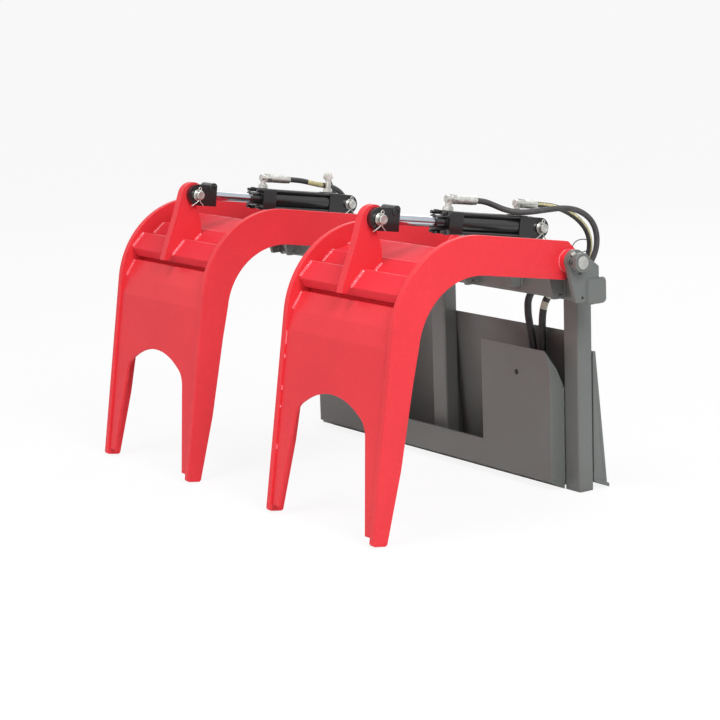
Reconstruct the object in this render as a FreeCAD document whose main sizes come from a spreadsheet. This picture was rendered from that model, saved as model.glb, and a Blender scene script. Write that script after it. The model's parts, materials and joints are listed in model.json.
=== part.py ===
import FreeCAD, Part
import Sketcher
import math
import os
import re

# A skid steer grapple: two arms on a welded frame, each worked by a tie rod cylinder.
# X runs across the machine, -Y points forward to the tines, Z is up. The origin lies
# on the ground under the middle of the centre post.

# Driving dimensions, in millimetres and degrees.
SIZES = {
    # Upright posts, with the outer pair centred at outer_post_x
    "post_width": 63.5,
    "post_depth": 50.8,
    "post_height": 605.5,
    "post_wall": 6.35,
    "post_corner": 8.0,
    "post_cap": 6.0,
    "outer_post_x": 590.55,
    # Top beam, which lies across the front of the posts
    "beam_size": 63.5,
    "beam_wall": 6.35,
    "beam_corner": 10.0,
    "beam_length": 1470.6,
    "beam_cap": 5.0,
    # Front coupler plate, one bent sheet with two raised pads
    "coupler_thick": 9.5,
    "coupler_front": 74.0,
    "coupler_fold_z": 24.9,
    "strip_top": 99.8,
    "pad_top": 389.4,
    "pad_inner_x": 264.2,
    "pad_clip_wide": 20.0,
    "pad_clip_high": 51.0,
    "pad_hole": 15.0,
    "pad_hole_x": 416.6,
    "pad_hole_z": 314.5,
    "top_lip_drop": 100.0,
    "side_plate_rear": 6.0,
    "lock_slot_x": 427.2,
    "lock_slot_wide": 43.0,
    "lock_slot_deep": 24.0,
    "lock_slot_edge": 10.0,
    # Rear coupler plate, tilted back from the posts
    "rear_thick": 9.5,
    "rear_top": 431.0,
    "rear_bend_z": 386.0,
    "rear_foot_y": 63.5,
    "rear_foot_z": 12.0,
    "rear_lip_reach": 38.0,
    "rear_lip_drop": 60.0,
    "flange_rear": 81.0,
    "flange_rise": 24.0,
    "gusset_thick": 9.5,
    # Arm hinge
    "hinge_y": -124.8,
    "hinge_rise": 51.9,
    "open_angle": 8.7,
    "ear_thick": 12.7,
    "ear_inner_x": 184.7,
    "ear_outer_x": 273.65,
    "ear_radius": 32.0,
    "ear_slope": 53.0,
    "ear_rear_y": 46.1,
    "ear_rear_rise": 32.9,
    "ear_foot_y": 124.8,
    "ear_foot_drop": 57.4,
    "ear_hole": 8.0,
    "ear_hole_y": 104.0,
    "ear_hole_drop": 45.5,
    "pin_size": 31.75,
    "pin_fit": 0.08,
    "pin_proud": 3.0,
    "pin_tail": 12.0,
    "boss_size": 51.0,
    "boss_length": 26.8,
    "hinge_tube_size": 57.0,
    "hinge_tube_gap": 0.4,
    # Arm side plates, in the arm's own frame: u out along the bar, w up
    "side_thick": 19.0,
    "side_outer": 246.1,
    "arm_rise": 50.8,
    "arm_drop": 50.8,
    "arm_heel_u": 3.0,
    "arm_heel_back": 23.0,
    "arm_heel_rise": 32.0,
    "elbow_u": 292.1,
    "elbow_outer": 254.0,
    "elbow_inner": 188.2,
    "inner_centre_u": 272.0,
    "tine_length": 742.5,
    "tine_width": 44.7,
    "tine_chamfer": 5.0,
    "tine_waist_u": 468.0,
    "tine_waist_w": 330.0,
    "tine_knee_u": 480.0,
    "tine_knee_w": 551.0,
    # Upper skin, a sheet folded to the elbow's curve
    "skin_thick": 9.5,
    "skin_rear_u": 412.5,
    "skin_fold_one_u": 474.5,
    "skin_fold_two_u": 504.0,
    "skin_front_u": 535.5,
    # Front plate between the tines, with its arch
    "front_thick": 9.5,
    "front_recess": 6.1,
    "front_top_u": 531.0,
    "seam_gap": 0.3,
    "front_bend_w": 198.0,
    "front_shortfall": 18.0,
    "arch_apex_w": 394.0,
    "arch_radius": 233.0,
    "arch_shoulder_x": 125.0,
    "arch_shoulder_r": 62.0,
    "arch_side_x": 160.0,
    "arch_side_w": 475.0,
    "arch_foot_x": 198.0,
    # Cylinder lug on the arm's skin
    "rod_pin_u": 458.2,
    "rod_pin_w": 65.8,
    "arm_lug_thick": 25.4,
    "arm_lug_eye": 28.0,
    "arm_lug_crown": 36.0,
    "arm_lug_nose": 42.0,
    "arm_lug_nose_u": 503.0,
    "arm_lug_neck_u": 516.0,
    "arm_lug_neck_w": 4.0,
    "arm_lug_toe_u": 540.0,
    "arm_lug_toe_w": 100.0,
    "arm_lug_foot": 10.0,
    "arm_lug_heel": 17.0,
    "arm_lug_lean": 4.0,
    # Cylinder base lug on the beam
    "base_pin_y": -30.1,
    "base_pin_rise": 110.5,
    "base_lug_thick": 28.0,
    "base_lug_round": 26.0,
    "base_lug_front": 125.0,
    "base_lug_drop": 44.5,
    "base_lug_corner": 14.0,
    "base_lug_knee_rise": 0.5,
    "base_lug_rear_y": 25.4,
    # Tie rod cylinder, measured from its base pin along its axis
    "cylinder_pin": 25.4,
    "cylinder_pin_half": 36.0,
    "pin_head": 33.0,
    "pin_head_thick": 4.0,
    "clevis_half": 28.5,
    "clevis_gap": 0.5,
    "clevis_round": 28.0,
    "base_cap_start": 51.0,
    "base_cap_long": 24.7,
    "cap_half": 31.0,
    "cap_corner": 4.0,
    "barrel_long": 195.6,
    "barrel_bore": 50.8,
    "barrel_size": 57.2,
    "head_flange_long": 20.3,
    "head_long": 25.0,
    "gland_size": 42.0,
    "gland_long": 32.0,
    "tie_rod_size": 9.5,
    "tie_rod_offset": 25.0,
    "nut_size": 14.3,
    "nut_long": 10.0,
    "tie_rod_tail": 12.0,
    "tie_rod_recess": 1.0,
    "piston_long": 38.0,
    "piston_fit": 0.1,
    "piston_spare": 22.4,
    "rod_size": 28.6,
    "rod_fit": 0.1,
    "rod_clevis_half": 30.5,
    "rod_clevis_throat": 46.0,
    "rod_clevis_long": 63.5,
    "pinch_bolt_size": 22.0,
    "pinch_bolt_drop": 4.0,
    # Port elbows on the cylinder
    "rod_port_s": 302.0,
    "base_port_s": 66.0,
    "elbow_size": 20.0,
    "elbow_stem": 17.0,
    "elbow_rise": 31.0,
    "tall_elbow_rise": 46.0,
    "elbow_reach": 20.0,
    "elbow_swivel": 60.0,
    "union_size": 25.4,
    "union_long": 14.0,
    "ferrule_size": 24.0,
    "rod_ferrule_long": 70.0,
    "base_ferrule_long": 44.0,
    # Hoses and the port blocks that they end in
    "hose_size": 16.0,
    "port_block_x": 418.5,
    "port_block_half": 40.0,
    "port_block_front": 12.0,
    "port_block_foot": 250.0,
    "port_block_top": 290.0,
    "hose_end_spread": 18.5,
    "hose_end_y": 6.0,
    "hose_end_long": 41.0,
}

FORWARD_TURN = FreeCAD.Vector(-1, 0, 0)
UPWARD = FreeCAD.Vector(0, 0, 1)
ORIGIN = FreeCAD.Vector(0, 0, 0)
SIDES = (("right", "1"), ("left", "-1"))

doc = FreeCAD.newDocument("SkidSteerGrapple")
sheet = doc.addObject("Spreadsheet::Sheet", "Sizes")
for row, (alias, setting) in enumerate(SIZES.items(), start=1):
    sheet.set("A%d" % row, str(setting))
    sheet.setAlias("A%d" % row, alias)
doc.recompute()
reckoner = doc.addObject("App::FeaturePython", "Reckoner")
reckoner.addProperty("App::PropertyFloat", "Amount")
sub_parts = []


def cells(formula):
    """A formula with every alias in it pointed at its cell."""
    def point(found):
        word = found.group()
        return "Sizes." + word if word in SIZES else word
    return re.sub(r"[a-z]\w*", point, formula)


def amount(formula):
    """The number that a formula comes to."""
    reckoner.setExpression("Amount", cells(formula))
    reckoner.recompute()
    return reckoner.Amount


def bind(thing, name, formula):
    """Tie one property of a thing to a formula of the sheet's cells."""
    thing.setExpression(name, cells(formula))


def put(thing, x="0", y="0", z="0", turn=None, axis=FORWARD_TURN):
    """Place a thing by formulas for its base point and its turn about an axis."""
    if turn is not None:
        thing.Placement = FreeCAD.Placement(ORIGIN, FreeCAD.Rotation(axis, amount(turn)))
        bind(thing, "Placement.Rotation.Angle", turn)
    for name, formula in zip("xyz", (x, y, z)):
        bind(thing, "Placement.Base." + name, formula)
    return thing


def arc_between(start, end, radius, turn):
    """The smaller arc from start to end, and whether it is drawn backwards."""
    middle = (start + end) / 2
    chord = end - start
    left = FreeCAD.Vector(-chord.y, chord.x, 0).normalize()
    rise = math.sqrt(max(radius ** 2 - (chord.Length / 2) ** 2, 0))
    centre = middle + left * (rise if turn == "left" else -rise)
    first, last = (start, end) if turn == "left" else (end, start)
    angles = [math.atan2(point.y - centre.y, point.x - centre.x) for point in (first, last)]
    circle = Part.Circle(centre, FreeCAD.Vector(0, 0, 1), radius)
    return Part.ArcOfCircle(circle, angles[0], angles[1]), turn == "right"


def draw_outline(sketch, outline):
    """Draw one closed outline. A point is (x, y), or (x, y, radius, turn) where an arc follows."""
    places = [FreeCAD.Vector(amount(point[0]), amount(point[1]), 0) for point in outline]
    ends = []
    for index, point in enumerate(outline):
        start = places[index]
        end = places[(index + 1) % len(places)]
        if len(point) == 2:
            edge = sketch.addGeometry(Part.LineSegment(start, end), False)
            ends.append((edge, 1, 2))
            continue
        arc, backwards = arc_between(start, end, amount(point[2]), point[3])
        edge = sketch.addGeometry(arc, False)
        ends.append((edge, 2, 1) if backwards else (edge, 1, 2))
    for index, (edge, first, last) in enumerate(ends):
        following = ends[(index + 1) % len(ends)]
        sketch.addConstraint(Sketcher.Constraint("Coincident", edge, last, following[0], following[1]))
    for index, (edge, first, last) in enumerate(ends):
        point = outline[index]
        measure(sketch, "DistanceX", (-1, 1, edge, first), places[index].x, point[0])
        measure(sketch, "DistanceY", (-1, 1, edge, first), places[index].y, point[1])
        if len(point) == 4:
            measure(sketch, "Radius", (edge,), amount(point[2]), point[2])


def measure(sketch, kind, targets, start_value, formula):
    """Add one dimension to a sketch and bind it."""
    number = sketch.addConstraint(Sketcher.Constraint(kind, *targets, start_value))
    bind(sketch, "Constraints[%d]" % number, formula)


def draw_circle(sketch, circle):
    """Draw one circle, given as (x, y, diameter)."""
    centre = FreeCAD.Vector(amount(circle[0]), amount(circle[1]), 0)
    size = amount(circle[2])
    edge = sketch.addGeometry(Part.Circle(centre, FreeCAD.Vector(0, 0, 1), size / 2), False)
    measure(sketch, "DistanceX", (-1, 1, edge, 3), centre.x, circle[0])
    measure(sketch, "DistanceY", (-1, 1, edge, 3), centre.y, circle[1])
    measure(sketch, "Diameter", (edge,), size, circle[2])


def sketch_on(body, plane, outlines, circles, offset):
    """A sketch on one of the body's own planes, moved along its normal by offset."""
    number = len(body.Group)
    sketch = body.newObject("Sketcher::SketchObject", "%s_sketch_%d" % (body.Name, number))
    support = [feature for feature in body.Origin.OriginFeatures if feature.Role == plane]
    sketch.AttachmentSupport = [(support[0], "")]
    sketch.MapMode = "FlatFace"
    bind(sketch, "AttachmentOffset.Base.z", offset)
    for outline in outlines:
        draw_outline(sketch, outline)
    for circle in circles:
        draw_circle(sketch, circle)
    return sketch


def plate(name, plane, outlines, thickness, circles=(), offset="0"):
    """A body padded evenly to both sides of a sketch."""
    body = doc.addObject("PartDesign::Body", name)
    body.Label = name
    sketch = sketch_on(body, plane, outlines, circles, offset)
    pad = body.newObject("PartDesign::Pad", name + "_pad")
    pad.Profile = sketch
    pad.SideType = "Symmetric"
    bind(pad, "Length", thickness)
    return body


def turned(name, outline):
    """A body turned about its own Y axis from a half profile."""
    body = doc.addObject("PartDesign::Body", name)
    body.Label = name
    sketch = sketch_on(body, "YZ_Plane", [outline], (), "0")
    turning = body.newObject("PartDesign::Revolution", name + "_turning")
    turning.Profile = sketch
    turning.ReferenceAxis = (sketch, ["H_Axis"])
    return body


def cut_away(body, plane, outlines, depth, circles=(), offset="0"):
    """Cut evenly to both sides of a sketch out of a body."""
    doc.recompute()
    before = body.Shape.Volume
    sketch = sketch_on(body, plane, outlines, circles, offset)
    pocket = body.newObject("PartDesign::Pocket", "%s_cut_%d" % (body.Name, len(body.Group)))
    pocket.Profile = sketch
    pocket.SideType = "Symmetric"
    bind(pocket, "Length", depth)
    doc.recompute()
    if body.Shape.Volume >= before:
        raise RuntimeError(body.Label + ": a cut removes nothing")


def joined(name, pieces):
    """One solid welded from several."""
    whole = doc.addObject("Part::MultiFuse", name)
    whole.Shapes = pieces
    whole.Refine = True
    whole.Label = name
    return whole


def together(name, pieces):
    """Separate solids kept in one sub-part."""
    collection = doc.addObject("Part::Compound", name)
    collection.Links = pieces
    collection.Label = name
    return collection


def keep(thing):
    """List a thing as a sub-part of the grapple."""
    sub_parts.append(thing)
    return thing


def rectangle(left, right, bottom, top):
    """The outline of a rectangle between four formulas."""
    return [(left, bottom), (right, bottom), (right, top), (left, top)]


def rounded_rectangle(half_x, half_y, radius):
    """The outline of a rectangle about the origin with round corners."""
    inner_x = "(%s)-(%s)" % (half_x, radius)
    inner_y = "(%s)-(%s)" % (half_y, radius)
    return [
        (half_x, "-(%s)" % inner_y),
        (half_x, inner_y, radius, "left"),
        (inner_x, half_y),
        ("-(%s)" % inner_x, half_y, radius, "left"),
        ("-(%s)" % half_x, inner_y),
        ("-(%s)" % half_x, "-(%s)" % inner_y, radius, "left"),
        ("-(%s)" % inner_x, "-(%s)" % half_y),
        (inner_x, "-(%s)" % half_y, radius, "left"),
    ]


def hexagon(x, y, across):
    """The outline of a hexagon by its centre and the width across its flats."""
    corners = (("1", "0"), ("0.5", "1"), ("-0.5", "1"), ("-1", "0"), ("-0.5", "-1"), ("0.5", "-1"))
    return [("%s+(%s)*%s/sqrt(3)" % (x, one, across), "%s+(%s)*%s/2" % (y, two, across))
            for one, two in corners]


# Places that several pieces share, as formulas
POST_FRONT = "-post_depth/2"
POST_REAR = "post_depth/2"
BEAM_REAR = POST_FRONT
BEAM_FRONT = "(-post_depth/2-beam_size)"
BEAM_TOP = "post_height"
OUTER_POST_INSIDE = "(outer_post_x-post_width/2)"
ARM_X = "(beam_length/2-beam_cap-ear_thick/2-ear_outer_x)"
HINGE_Z = "(post_height+hinge_rise)"
BASE_PIN_Z = "(post_height+base_pin_rise)"


def arm_y(u, w):
    """The Y of a point of the arm's frame."""
    return "(hinge_y-(%s)*cos(open_angle)+(%s)*sin(open_angle))" % (u, w)


def arm_z(u, w):
    """The Z of a point of the arm's frame."""
    return "(%s+(%s)*sin(open_angle)+(%s)*cos(open_angle))" % (HINGE_Z, u, w)


ROD_PIN_Y = arm_y("rod_pin_u", "rod_pin_w")
ROD_PIN_Z = arm_z("rod_pin_u", "rod_pin_w")
CYLINDER_RUN = "(base_pin_y-%s)" % ROD_PIN_Y
CYLINDER_LIFT = "(%s-%s)" % (ROD_PIN_Z, BASE_PIN_Z)
CYLINDER_ANGLE = "atan2(%s;%s)" % (CYLINDER_LIFT, CYLINDER_RUN)
CYLINDER_LENGTH = "sqrt(%s^2+%s^2)" % (CYLINDER_RUN, CYLINDER_LIFT)


def on_arm(thing, sign, x):
    """Place a thing drawn in an arm's frame, at an offset x from the arm's middle."""
    return put(thing, "%s*(%s+(%s))" % (sign, ARM_X, x), "hinge_y", HINGE_Z, "open_angle")


def on_cylinder(thing, sign):
    """Place a thing drawn in a cylinder's frame, which starts at its base pin."""
    return put(thing, "%s*%s" % (sign, ARM_X), "base_pin_y", BASE_PIN_Z, CYLINDER_ANGLE)


# Posts and beam


def square_tube(name, plane, half_x, half_y, wall, corner, length):
    """A tube with round corners, centred on the origin."""
    outside = rounded_rectangle(half_x, half_y, corner)
    inside_x = "%s-%s" % (half_x, wall)
    inside_y = "%s-%s" % (half_y, wall)
    inside = rounded_rectangle(inside_x, inside_y, "%s/2" % corner)
    return plate(name, plane, [outside, inside], length)


def posts():
    """Three upright tubes with a cap at each end."""
    caps = []
    stations = (("right", "outer_post_x"), ("left", "-outer_post_x"), ("center", "0"))
    for side, x in stations:
        tube = square_tube(side + "_post", "XY_Plane", "post_width/2", "post_depth/2",
                           "post_wall", "post_corner", "post_height-2*post_cap")
        keep(put(tube, x, "0", "post_height/2"))
        for end, z in (("foot", "post_cap/2"), ("top", "post_height-post_cap/2")):
            outline = rounded_rectangle("post_width/2", "post_depth/2", "post_corner")
            cap = plate("%s_post_%s_cap" % (side, end), "XY_Plane", [outline], "post_cap")
            caps.append(put(cap, x, "0", z))
    keep(together("post_caps", caps))


def top_beam():
    """The square tube across the posts, with its end caps."""
    y = "-(post_depth+beam_size)/2"
    z = "post_height-beam_size/2"
    tube = square_tube("top_beam", "YZ_Plane", "beam_size/2", "beam_size/2",
                       "beam_wall", "beam_corner", "beam_length-2*beam_cap")
    keep(put(tube, "0", y, z))
    caps = []
    for side, sign in SIDES:
        outline = rounded_rectangle("beam_size/2", "beam_size/2", "beam_corner")
        cap = plate(side + "_beam_cap", "YZ_Plane", [outline], "beam_cap")
        caps.append(put(cap, "%s*(beam_length-beam_cap)/2" % sign, y, z))
    keep(together("beam_end_caps", caps))


# Coupler plates

COUPLER_FRONT = "-coupler_front"
COUPLER_BACK = "(coupler_thick-coupler_front)"
LIP_REACH = "(coupler_front-post_depth/2)"
TOP_LIP_ANGLE = "atan(%s/top_lip_drop)" % LIP_REACH
TOP_LIP_END_Z = "(pad_top-top_lip_drop-coupler_thick*sin(%s))" % TOP_LIP_ANGLE
TOP_LIP_END_Y = "(-post_depth/2-coupler_thick*cos(%s))" % TOP_LIP_ANGLE
TOP_LIP_APEX_Z = "(pad_top-coupler_thick/tan(%s/2))" % TOP_LIP_ANGLE
FOOT_LIP_EDGE = "(coupler_thick/cos(atan(coupler_fold_z/%s)))" % LIP_REACH
FOOT_LIP_FOLD = "(%s+(%s-coupler_thick)*coupler_fold_z/%s)" % (FOOT_LIP_EDGE, LIP_REACH, LIP_REACH)


def front_coupler_plate():
    """The bent sheet of the front coupler: a strip with two pads, a foot lip and top lips."""
    profile = [
        (COUPLER_FRONT, "coupler_fold_z"),
        (POST_FRONT, "0"),
        (POST_FRONT, FOOT_LIP_EDGE),
        (COUPLER_BACK, FOOT_LIP_FOLD),
        (COUPLER_BACK, TOP_LIP_APEX_Z),
        (TOP_LIP_END_Y, TOP_LIP_END_Z),
        (POST_FRONT, "pad_top-top_lip_drop"),
        (COUPLER_FRONT, "pad_top"),
    ]
    sheet_metal = plate("front_coupler_plate", "YZ_Plane", [profile], "2*" + OUTER_POST_INSIDE)
    window = rectangle("-pad_inner_x", "pad_inner_x", "strip_top", "pad_top+coupler_thick")
    clips = []
    for side, sign in SIDES:
        edge = "%s*(%s)" % (sign, OUTER_POST_INSIDE)
        clips.append([
            ("%s-%s*pad_clip_wide" % (edge, sign), "pad_top"),
            (edge, "pad_top-pad_clip_high"),
            ("%s+%s*pad_clip_wide" % (edge, sign), "pad_top"),
        ])
    cut_away(sheet_metal, "XZ_Plane", [window] + clips, "4*coupler_front")
    holes = [("%s*pad_hole_x" % sign, "pad_hole_z", "pad_hole") for side, sign in SIDES]
    cut_away(sheet_metal, "XZ_Plane", [], "2*coupler_thick", holes, "coupler_front-coupler_thick/2")
    slots = lock_slots("-post_depth/2-lock_slot_edge-lock_slot_deep", "-post_depth/2-lock_slot_edge")
    cut_away(sheet_metal, "XY_Plane", slots, "2*strip_top")
    keep(sheet_metal)


def lock_slots(near, far):
    """The outlines of the two slots for a coupler's wedge pins."""
    outlines = []
    for side, sign in SIDES:
        middle = "%s*lock_slot_x" % sign
        outlines.append(rectangle(middle + "-lock_slot_wide/2", middle + "+lock_slot_wide/2", near, far))
    return outlines


def coupler_side_plates():
    """The plates that close the front coupler's ends and join it to the outer posts."""
    profile = [
        (COUPLER_BACK, FOOT_LIP_FOLD),
        (POST_FRONT, FOOT_LIP_EDGE),
        ("-side_plate_rear", FOOT_LIP_EDGE),
        ("-side_plate_rear", TOP_LIP_END_Z),
        (TOP_LIP_END_Y, TOP_LIP_END_Z),
        (COUPLER_BACK, TOP_LIP_APEX_Z),
    ]
    plates = []
    for side, sign in SIDES:
        closing = plate(side + "_coupler_side_plate", "YZ_Plane", [profile], "coupler_thick")
        plates.append(put(closing, "%s*(%s-coupler_thick/2)" % (sign, OUTER_POST_INSIDE)))
    keep(together("coupler_side_plates", plates))


REAR_TILT = "((rear_foot_y-post_depth/2)/(rear_bend_z-rear_foot_z))"
REAR_LIP_ANGLE = "atan(rear_lip_reach/rear_lip_drop)"
FLANGE_SLOPE = "(flange_rise/(flange_rear-post_depth/2))"
FLANGE_EDGE = "(rear_thick/cos(atan(%s)))" % FLANGE_SLOPE
GUSSET_FOOT_Z = "((%s+(flange_rear-post_depth/2-rear_bend_z*%s)*%s)/(1-%s*%s))" % (
    FLANGE_EDGE, REAR_TILT, FLANGE_SLOPE, REAR_TILT, FLANGE_SLOPE)
GUSSET_FOOT_Y = "(post_depth/2+(rear_bend_z-%s)*%s)" % (GUSSET_FOOT_Z, REAR_TILT)


def rear_coupler_plate():
    """The sheet that a carrier's coupler takes hold of, with its lip between the outer posts."""
    rear_face = "(%s+rear_thick)" % POST_REAR
    tilted_profile = [
        (POST_REAR, "rear_bend_z"),
        ("rear_foot_y", "rear_foot_z"),
        ("rear_foot_y+rear_thick", "rear_foot_z"),
        (rear_face, "rear_bend_z"),
    ]
    upper_profile = [
        (POST_REAR, "rear_bend_z"),
        (rear_face, "rear_bend_z"),
        (rear_face, "rear_top-rear_thick/tan(%s/2)" % REAR_LIP_ANGLE),
        ("%s+rear_lip_reach-rear_thick*cos(%s)" % (POST_REAR, REAR_LIP_ANGLE),
         "rear_top-rear_lip_drop-rear_thick*sin(%s)" % REAR_LIP_ANGLE),
        (POST_REAR + "+rear_lip_reach", "rear_top-rear_lip_drop"),
        (POST_REAR, "rear_top"),
    ]
    width = "2*outer_post_x+post_width"
    web = plate("rear_web", "YZ_Plane", [tilted_profile], width)
    upper = plate("rear_upper_web", "YZ_Plane", [upper_profile], "2*" + OUTER_POST_INSIDE)
    flange_profile = [
        (POST_REAR, "flange_rise"),
        ("flange_rear", "0"),
        ("flange_rear", FLANGE_EDGE),
        (POST_REAR, "flange_rise+" + FLANGE_EDGE),
    ]
    flange = plate("rear_flange", "YZ_Plane", [flange_profile], width)
    slots = lock_slots("post_depth/2+lock_slot_edge", "post_depth/2+lock_slot_edge+lock_slot_deep")
    cut_away(flange, "XY_Plane", slots, "2*strip_top")
    keep(joined("rear_coupler_plate", [web, upper, flange]))


def rear_gussets():
    """The wedges between the posts and the tilted rear plate."""
    profile = [
        (POST_REAR, "rear_bend_z"),
        (POST_REAR, "flange_rise+" + FLANGE_EDGE),
        (GUSSET_FOOT_Y, GUSSET_FOOT_Z),
    ]
    gussets = []
    outer = "(outer_post_x+post_width/2-gusset_thick/2)"
    for name, x in (("right", outer), ("center", "0"), ("left", "-" + outer)):
        wedge = plate(name + "_rear_gusset", "YZ_Plane", [profile], "gusset_thick")
        gussets.append(put(wedge, x))
    keep(together("rear_gussets", gussets))


# Hinges on the beam

PIN_BORE = "(pin_size+2*pin_fit)"


def hinge_ear(name, x):
    """One plate that hooks over the beam and holds an arm's hinge pin."""
    outline = [
        ("-ear_rear_y", BEAM_TOP),
        (BEAM_FRONT, BEAM_TOP),
        (BEAM_FRONT, BEAM_TOP + "-ear_foot_drop"),
        ("-ear_foot_y", BEAM_TOP + "-ear_foot_drop"),
        ("hinge_y-ear_radius", HINGE_Z, "ear_radius", "right"),
        ("hinge_y+ear_radius*cos(ear_slope)", HINGE_Z + "+ear_radius*sin(ear_slope)"),
        ("-ear_rear_y", BEAM_TOP + "+ear_rear_rise"),
    ]
    holes = [("hinge_y", HINGE_Z, PIN_BORE), ("-ear_hole_y", BEAM_TOP + "-ear_hole_drop", "ear_hole")]
    return put(plate(name, "YZ_Plane", [outline], "ear_thick", holes), x)


def hinges():
    """Four ears, two pins and two boss tubes for each arm."""
    bosses = []
    for side, sign in SIDES:
        pins = []
        for place, out in (("outer", "1"), ("inner", "-1")):
            ears = []
            for rank in ("ear_outer_x", "ear_inner_x"):
                x = "%s*(%s+%s*%s)" % (sign, ARM_X, out, rank)
                ears.append(hinge_ear("%s_%s_%s" % (side, place, rank[:-2]), x))
            keep(together("%s_%s_hinge_ears" % (side, place), ears))
            boss_start = "(ear_outer_x+ear_thick/2)"
            boss = plate("%s_%s_boss" % (side, place), "YZ_Plane", [], "boss_length",
                         [("0", "0", "boss_size"), ("0", "0", PIN_BORE)])
            x = "%s*(%s+%s*(%s+boss_length/2))" % (sign, ARM_X, out, boss_start)
            bosses.append(put(boss, x, "hinge_y", HINGE_Z))
            pin_start = "(ear_inner_x-ear_thick/2-pin_tail)"
            pin_end = "(%s+boss_length+pin_proud)" % boss_start
            pin = plate("%s_%s_pin" % (side, place), "YZ_Plane", [], "%s-%s" % (pin_end, pin_start),
                        [("0", "0", "pin_size")])
            x = "%s*(%s+%s*(%s+%s)/2)" % (sign, ARM_X, out, pin_start, pin_end)
            pins.append(put(pin, x, "hinge_y", HINGE_Z))
        keep(together(side + "_hinge_pins", pins))
    keep(together("hinge_boss_tubes", bosses))


CYLINDER_PIN_BORE = "(cylinder_pin+2*pin_fit)"


def base_lugs():
    """The lug over the beam that carries each cylinder's base pin, and that pin."""
    outline = [
        ("-base_lug_rear_y", BEAM_TOP),
        (BEAM_FRONT, BEAM_TOP),
        (BEAM_FRONT, BEAM_TOP + "-base_lug_drop"),
        ("-base_lug_front+base_lug_corner", BEAM_TOP + "-base_lug_drop", "base_lug_corner", "right"),
        ("-base_lug_front", BEAM_TOP + "-base_lug_drop+base_lug_corner"),
        ("-base_lug_front", BEAM_TOP + "+base_lug_knee_rise"),
        ("base_pin_y-base_lug_round", BASE_PIN_Z, "base_lug_round", "right"),
        ("base_pin_y", BASE_PIN_Z + "+base_lug_round", "base_lug_round", "right"),
        ("base_pin_y+base_lug_round", BASE_PIN_Z),
    ]
    bore = [("base_pin_y", BASE_PIN_Z, CYLINDER_PIN_BORE)]
    for side, sign in SIDES:
        lug = plate(side + "_base_lug", "YZ_Plane", [outline], "base_lug_thick", bore)
        keep(put(lug, "%s*%s" % (sign, ARM_X)))
        shank = plate(side + "_base_pin_shank", "YZ_Plane", [], "2*cylinder_pin_half",
                      [("0", "0", "cylinder_pin")])
        head = plate(side + "_base_pin_head", "YZ_Plane", [], "pin_head_thick",
                     [("0", "0", "pin_head")], "-%s*(clevis_half+pin_fit+pin_head_thick/2)" % sign)
        pin = joined(side + "_base_pin", [shank, head])
        keep(put(pin, "%s*%s" % (sign, ARM_X), "base_pin_y", BASE_PIN_Z))


# Arms


def on_elbow(u):
    """The w of the elbow's outer curve at u."""
    return "(arm_rise-elbow_outer+sqrt(elbow_outer^2-((%s)-elbow_u)^2))" % u


def arm_outline(points):
    """An outline given in u and w, turned to the arm's sketch, whose first axis is -u."""
    return [("-(%s)" % point[0], point[1]) + tuple(point[2:]) for point in points]


ELBOW_CENTRE_W = "(arm_rise-elbow_outer)"
TINE_FRONT = "(elbow_u+elbow_outer)"
INNER_CENTRE_W = "(-arm_drop-elbow_inner)"


def side_plates():
    """The two plates that give each arm its shape, from hinge to tine tip."""
    outline = arm_outline([
        ("arm_heel_u", "arm_rise"),
        ("elbow_u", "arm_rise", "elbow_outer", "left"),
        (TINE_FRONT, ELBOW_CENTRE_W),
        (TINE_FRONT, "tine_chamfer-tine_length"),
        (TINE_FRONT + "-tine_chamfer", "-tine_length"),
        (TINE_FRONT + "-tine_width+tine_chamfer", "-tine_length"),
        (TINE_FRONT + "-tine_width", "tine_chamfer-tine_length"),
        ("tine_knee_u", "-tine_knee_w"),
        ("tine_waist_u", "-tine_waist_w"),
        ("inner_centre_u+elbow_inner", INNER_CENTRE_W, "elbow_inner", "right"),
        ("inner_centre_u", "-arm_drop"),
        ("arm_heel_u", "-arm_drop"),
        ("-arm_heel_back", "-arm_heel_rise", "sqrt(arm_heel_back^2+arm_heel_rise^2)", "left"),
        ("-arm_heel_back", "arm_heel_rise"),
    ])
    bore = [("0", "0", "hinge_tube_size")]
    for side, sign in SIDES:
        for place, out in (("outer", "1"), ("inner", "-1")):
            slab = plate("%s_arm_%s_plate" % (side, place), "YZ_Plane", [outline], "side_thick", bore)
            keep(on_arm(slab, sign, "%s*(side_outer-side_thick/2)" % out))


def hinge_tubes():
    """The tubes welded through the side plates, which turn on the hinge pins."""
    length = "(ear_outer_x-ear_inner_x-ear_thick-2*hinge_tube_gap)"
    for side, sign in SIDES:
        tubes = []
        for place, out in (("outer", "1"), ("inner", "-1")):
            tube = plate("%s_%s_hinge_tube" % (side, place), "YZ_Plane", [], length,
                         [("0", "0", "hinge_tube_size"), ("0", "0", PIN_BORE)])
            tubes.append(on_arm(tube, sign, "%s*(ear_outer_x+ear_inner_x)/2" % out))
        keep(together(side + "_arm_hinge_tubes", tubes))


def skin_inside(u):
    """The u and w of the skin's inner face behind the outer face's point at u."""
    reach = "((elbow_outer-skin_thick)/elbow_outer)"
    inner_u = "(elbow_u+(%s-elbow_u)*%s)" % (u, reach)
    inner_w = "(%s+(%s-%s)*%s)" % (ELBOW_CENTRE_W, on_elbow(u), ELBOW_CENTRE_W, reach)
    return inner_u, inner_w


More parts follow.
